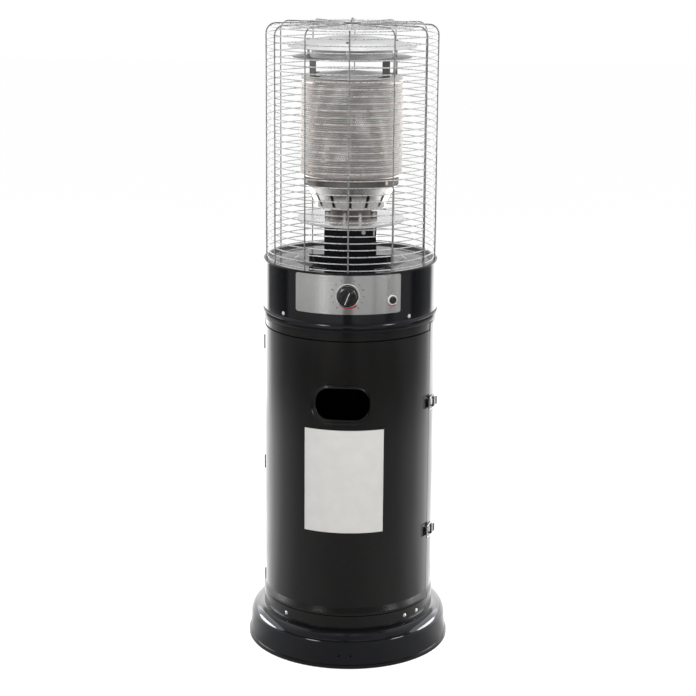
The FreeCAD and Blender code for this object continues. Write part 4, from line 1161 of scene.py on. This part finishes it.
@dataclass
class Surround:
    """Cloths and pale walls round the heater, which show only as reflections in gloss and metal.

    Each wall has pairs of an azimuth and a brightness, where 1 is white. Those that start at zero are the
    same to the left and to the right.
    """

    near_radius: float = 1.2
    near_height: float = 0.68
    far_radius: float = 3.2
    far_height: float = 2.8
    start_radius: float = 0.20
    lift: float = 1.0 * MM
    columns: int = 360
    rows: int = 20
    floor_wall: Keys = ((0.0, 0.24), (60.0, 0.38), (90.0, 0.75), (110.0, 1.4), (130.0, 2.0), (180.0, 2.6))
    body_wall: Keys = ((0.0, 0.05), (60.0, 0.09), (90.0, 0.30), (120.0, 0.9), (138.0, 3.0), (180.0, 3.2))
    housing_wall: Keys = (
        (-180.0, 4.0), (-136.0, 3.6), (-124.0, 0.3), (-86.0, 0.05), (-78.0, 0.38), (-48.0, 0.44),
        (-24.0, 0.54), (-9.0, 0.5), (-5.0, 0.11), (2.0, 0.11), (7.0, 0.44), (26.0, 0.42), (31.0, 0.3),
        (36.0, 0.4), (44.0, 0.38), (48.0, 0.11), (53.0, 0.2), (60.0, 0.4), (78.0, 0.36), (86.0, 0.05),
        (124.0, 0.3), (136.0, 3.6), (180.0, 4.0))
    ring_wall: Keys = ((0.0, 0.9), (55.0, 0.8), (75.0, 0.35), (150.0, 0.22), (180.0, 0.3))
    emitter_wall: Keys = (
        (-180.0, 2.2), (-130.0, 2.4), (-100.0, 2.3), (-88.0, 0.4), (-64.0, 0.38), (-36.0, 0.66), (0.0, 0.60),
        (12.0, 0.48), (30.0, 0.56), (48.0, 0.44), (68.0, 0.28), (88.0, 0.8), (112.0, 2.2), (180.0, 2.2))
    neck_wall: Keys = ((0.0, 0.08), (60.0, 0.15), (100.0, 0.6), (180.0, 1.0))
    far_wall: Keys = ((0.0, 0.2), (60.0, 0.35), (110.0, 0.7), (150.0, 0.95), (180.0, 1.0))
    floor_top: float = 0.16
    body_foot: float = 0.30
    body_top: float = 0.47
    housing_foot: float = 0.51
    neck_reach: float = 1.85
    ring_start: float = 2.05
    ring_reach: float = 2.50
    emitter_reach: float = 2.62
    emitter_top: float = 1.05
    far_foot: float = 1.25

    def level(self, azimuth: float, radius: float, height: float) -> float:
        """Brightness of the surround at one place.

        Args:
            azimuth: Degrees from the front.
            radius: Distance from the axis.
            height: Height above the ground.

        Returns:
            The brightness, where 1 is white.
        """
        signed = (azimuth + 180.0) % 360.0 - 180.0
        turn = abs(signed)
        if radius <= self.near_radius + self.lift:
            rise = blend(height, ((self.floor_top, 0.0), (self.body_foot, 1.0)))
            level = blend(turn, self.floor_wall) * (1.0 - rise) + blend(turn, self.body_wall) * rise
            rise = blend(height, ((self.body_top, 0.0), (self.housing_foot, 1.0)))
            return level * (1.0 - rise) + blend(signed, self.housing_wall) * rise
        if height < self.near_height + self.lift:
            share = blend(radius, ((self.neck_reach, 0.0), (self.ring_start, 1.0)))
            level = blend(turn, self.neck_wall) * (1.0 - share) + blend(turn, self.ring_wall) * share
            share = blend(radius, ((self.ring_reach, 0.0), (self.emitter_reach, 1.0)))
            return level * (1.0 - share) + blend(signed, self.emitter_wall) * share
        share = blend(height, ((self.emitter_top, 0.0), (self.far_foot, 1.0)))
        return blend(signed, self.emitter_wall) * (1.0 - share) + blend(turn, self.far_wall) * share

    def profile(self) -> list[tuple[float, float]]:
        """Radius and height of the rows, from the apron on the floor to the top of the far wall.

        Returns:
            One pair for each row.
        """
        points = [(self.start_radius, self.lift)]
        corners = ((self.near_radius, self.lift), (self.near_radius, self.near_height),
                   (self.far_radius, self.near_height), (self.far_radius, self.far_height),
                   (self.lift, self.far_height))
        for radius, height in corners:
            start, foot = points[-1]
            for step in range(1, self.rows + 1):
                share = step / self.rows
                points.append((start + (radius - start) * share, foot + (height - foot) * share))
        return points

    def build(self) -> None:
        """Build the surround."""
        form = Form()
        shade = form.mesh.verts.layers.float.new("level")
        profile = self.profile()
        strips = []
        for column in range(self.columns):
            azimuth = 360.0 * column / self.columns
            strip = form.row(around(azimuth, radius, height) for radius, height in profile)
            for vert, (radius, height) in zip(strip, profile):
                vert[shade] = self.level(azimuth, radius, height)
            strips.append(strip)
        form.skin(strips, closed=False, endless=True)
        wall = form.finish("surround")
        wall.visible_camera = False
        wall.visible_diffuse = False
        wall.visible_shadow = False
        wall.visible_transmission = False
        bench = Bench(bpy.data.materials.new("surround_cloth"))
        shade_node = bench.add("Attribute", {}, attribute_name="level")
        cloth = bench.add("Emission", {"Strength": shade_node.outputs["Fac"]})
        wall.data.materials.append(bench.show(cloth.outputs["Emission"]))
        LOG.info("built the surround")


@dataclass(frozen=True)
class Lamp:
    """Soft round lamp that faces the heater's axis.

    Its level is how bright its face looks, where 1 is white. Only a mirrored lamp shows in gloss and metal.
    """

    name: str
    azimuth: float
    radius: float
    height: float
    aim: float
    size: float
    level: float
    colour: Colour = (1.0, 1.0, 1.0)
    mirrored: bool = True
    beam: float = 179.0

    def light(self) -> None:
        """Put the lamp in the scene."""
        data = bpy.data.lights.new(self.name, "AREA")
        data.shape = "DISK"
        data.size = self.size
        half_beam = math.radians(self.beam) / 2
        data.spread = 2 * half_beam
        area = math.pi * self.size * self.size / 4
        data.energy = self.level * math.pi * area * (1.0 - half_beam / math.tan(half_beam))
        data.color = self.colour
        lamp = bpy.data.objects.new(self.name, data)
        bpy.context.scene.collection.objects.link(lamp)
        lamp.location = around(self.azimuth, self.radius, self.height)
        lamp.rotation_mode = "QUATERNION"
        lamp.rotation_quaternion = (Vector((0.0, 0.0, self.aim)) - lamp.location).to_track_quat("-Z", "Y")
        lamp.visible_camera = False
        lamp.visible_glossy = self.mirrored
        LOG.info("placed %s", self.name)


@dataclass
class Studio:
    """White floor and backdrop, soft lamps and the camera at the photograph's view."""

    camera_distance: float = 3.700
    camera_height: float = 1.589
    camera_azimuth: float = 1.7
    camera_pitch: float = 13.48
    camera_roll: float = 0.45
    lens: float = 90.4
    sensor_width: float = 36.0
    shift_x: float = -0.003
    shift_y: float = -0.030
    floor_size: float = 30.0
    floor_glow: float = 0.80
    floor_colour: float = 0.32
    floor_shade_radius: float = 0.2
    room_level: float = 0.60
    cool_light: Colour = (0.86, 0.92, 1.0)

    def build_camera(self) -> None:
        """Make the camera."""
        data = bpy.data.cameras.new("camera")
        data.lens = self.lens
        data.sensor_width = self.sensor_width
        data.shift_x = self.shift_x
        data.shift_y = self.shift_y
        camera = bpy.data.objects.new("camera", data)
        bpy.context.scene.collection.objects.link(camera)
        turn = Matrix.Rotation(math.radians(self.camera_azimuth), 4, "Z")
        place = turn @ Matrix.Translation((0.0, -self.camera_distance, self.camera_height))
        tilt = Matrix.Rotation(math.radians(90.0 - self.camera_pitch), 4, "X")
        roll = Matrix.Rotation(math.radians(self.camera_roll), 4, "Z")
        camera.matrix_world = place @ tilt @ roll
        bpy.context.scene.camera = camera

    def seen_directly(self, bench: Bench) -> Socket:
        """One for rays that show the background: camera, mirror and glass rays.

        Args:
            bench: The bench to add the nodes to.

        Returns:
            The factor.
        """
        rays = bench.add("LightPath", {}).outputs
        mirrored = bench.calculate("MAXIMUM", rays["Is Glossy Ray"], rays["Is Transmission Ray"])
        return bench.calculate("MAXIMUM", rays["Is Camera Ray"], mirrored)

    def build_floor(self) -> None:
        """Make the pale floor, which shows white, keeps the shadow and is dark under the base."""
        form = Form()
        half = self.floor_size / 2
        form.mesh.faces.new(form.row((x * half, y * half, 0.0) for x, y in SQUARE))
        floor = form.finish("floor")
        bench = Bench(bpy.data.materials.new("pale_floor"))
        paper = bench.add("BsdfDiffuse", {"Color": (*(self.floor_colour,) * 3, 1.0)})
        distance = bench.add("VectorMath", {0: bench.place((1.0, 1.0, 1.0))}, operation="LENGTH")
        outside = bench.calculate("GREATER_THAN", distance.outputs["Value"], self.floor_shade_radius)
        shown = bench.calculate("MULTIPLY", self.seen_directly(bench), outside)
        glow = bench.add("Emission", {"Strength": bench.calculate("MULTIPLY", shown, self.floor_glow)})
        both = bench.add("AddShader", {0: paper.outputs["BSDF"], 1: glow.outputs["Emission"]})
        floor.data.materials.append(bench.show(both.outputs["Shader"]))

    def build_world(self) -> None:
        """Make the surroundings: a white backdrop to look at and a softer room for the light."""
        world = bpy.data.worlds.new("studio")
        bpy.context.scene.world = world
        bench = Bench(world)
        white = (1.0, 1.0, 1.0, 1.0)
        room = bench.add("Background", {"Color": white, "Strength": self.room_level})
        backdrop = bench.add("Background", {"Color": white, "Strength": 1.0})
        choose = bench.add("MixShader", {"Fac": self.seen_directly(bench), 1: room.outputs["Background"],
                                         2: backdrop.outputs["Background"]})
        bench.show(choose.outputs["Shader"])

    def build_lamps(self) -> None:
        """Place the lamps, in pairs to the left and right, and one that fills from the front."""
        for side, name in ((-1, "left"), (1, "right")):
            Lamp(name + "_rear_lamp", azimuth=side * 140.0, radius=2.5, height=1.9, aim=0.1, size=2.2,
                 level=2.4, mirrored=False).light()
            Lamp(name + "_shoulder_lamp", azimuth=side * 102.0, radius=0.95, height=0.26, aim=-6.0, size=1.0,
                 level=2.3, colour=self.cool_light).light()
            Lamp(name + "_shoulder_core", azimuth=side * 98.0, radius=0.95, height=0.20, aim=-6.0, size=0.56,
                 level=15.0).light()
        for azimuth, name in ((-34.0, "left"), (54.0, "right")):
            Lamp(name + "_front_lamp", azimuth, radius=2.3, height=1.9, aim=0.1, size=0.95,
                 level=7.5, mirrored=False).light()
            Lamp(name + "_bead_beam", azimuth, radius=2.5, height=1.5, aim=0.745, size=1.2,
                 level=13.0, beam=20.0).light()
            Lamp(name + "_skirt_lamp", azimuth, radius=0.9, height=0.14, aim=-9.0, size=0.24,
                 level=13.0).light()
        Lamp("fill_lamp", azimuth=0.0, radius=3.6, height=0.9, aim=0.7, size=1.5,
             level=3.9, mirrored=False).light()

    def build(self) -> None:
        """Build the whole studio."""
        bpy.context.scene.view_settings.view_transform = "Standard"
        self.build_camera()
        self.build_floor()
        self.build_world()
        Surround().build()
        self.build_lamps()
        LOG.info("built the studio")


def main() -> None:
    """Build the looks piece by piece."""
    logging.basicConfig(level=logging.INFO, format="%(name)s: %(message)s")
    finishes = Finishes()
    for kind in (Dressing, Guard, Emitter, RolledShells, ScrewHeads, BurnerTrim, ControlPrint):
        kind(finishes).build()
    Studio().build()


if __name__ == "__main__":
    main()
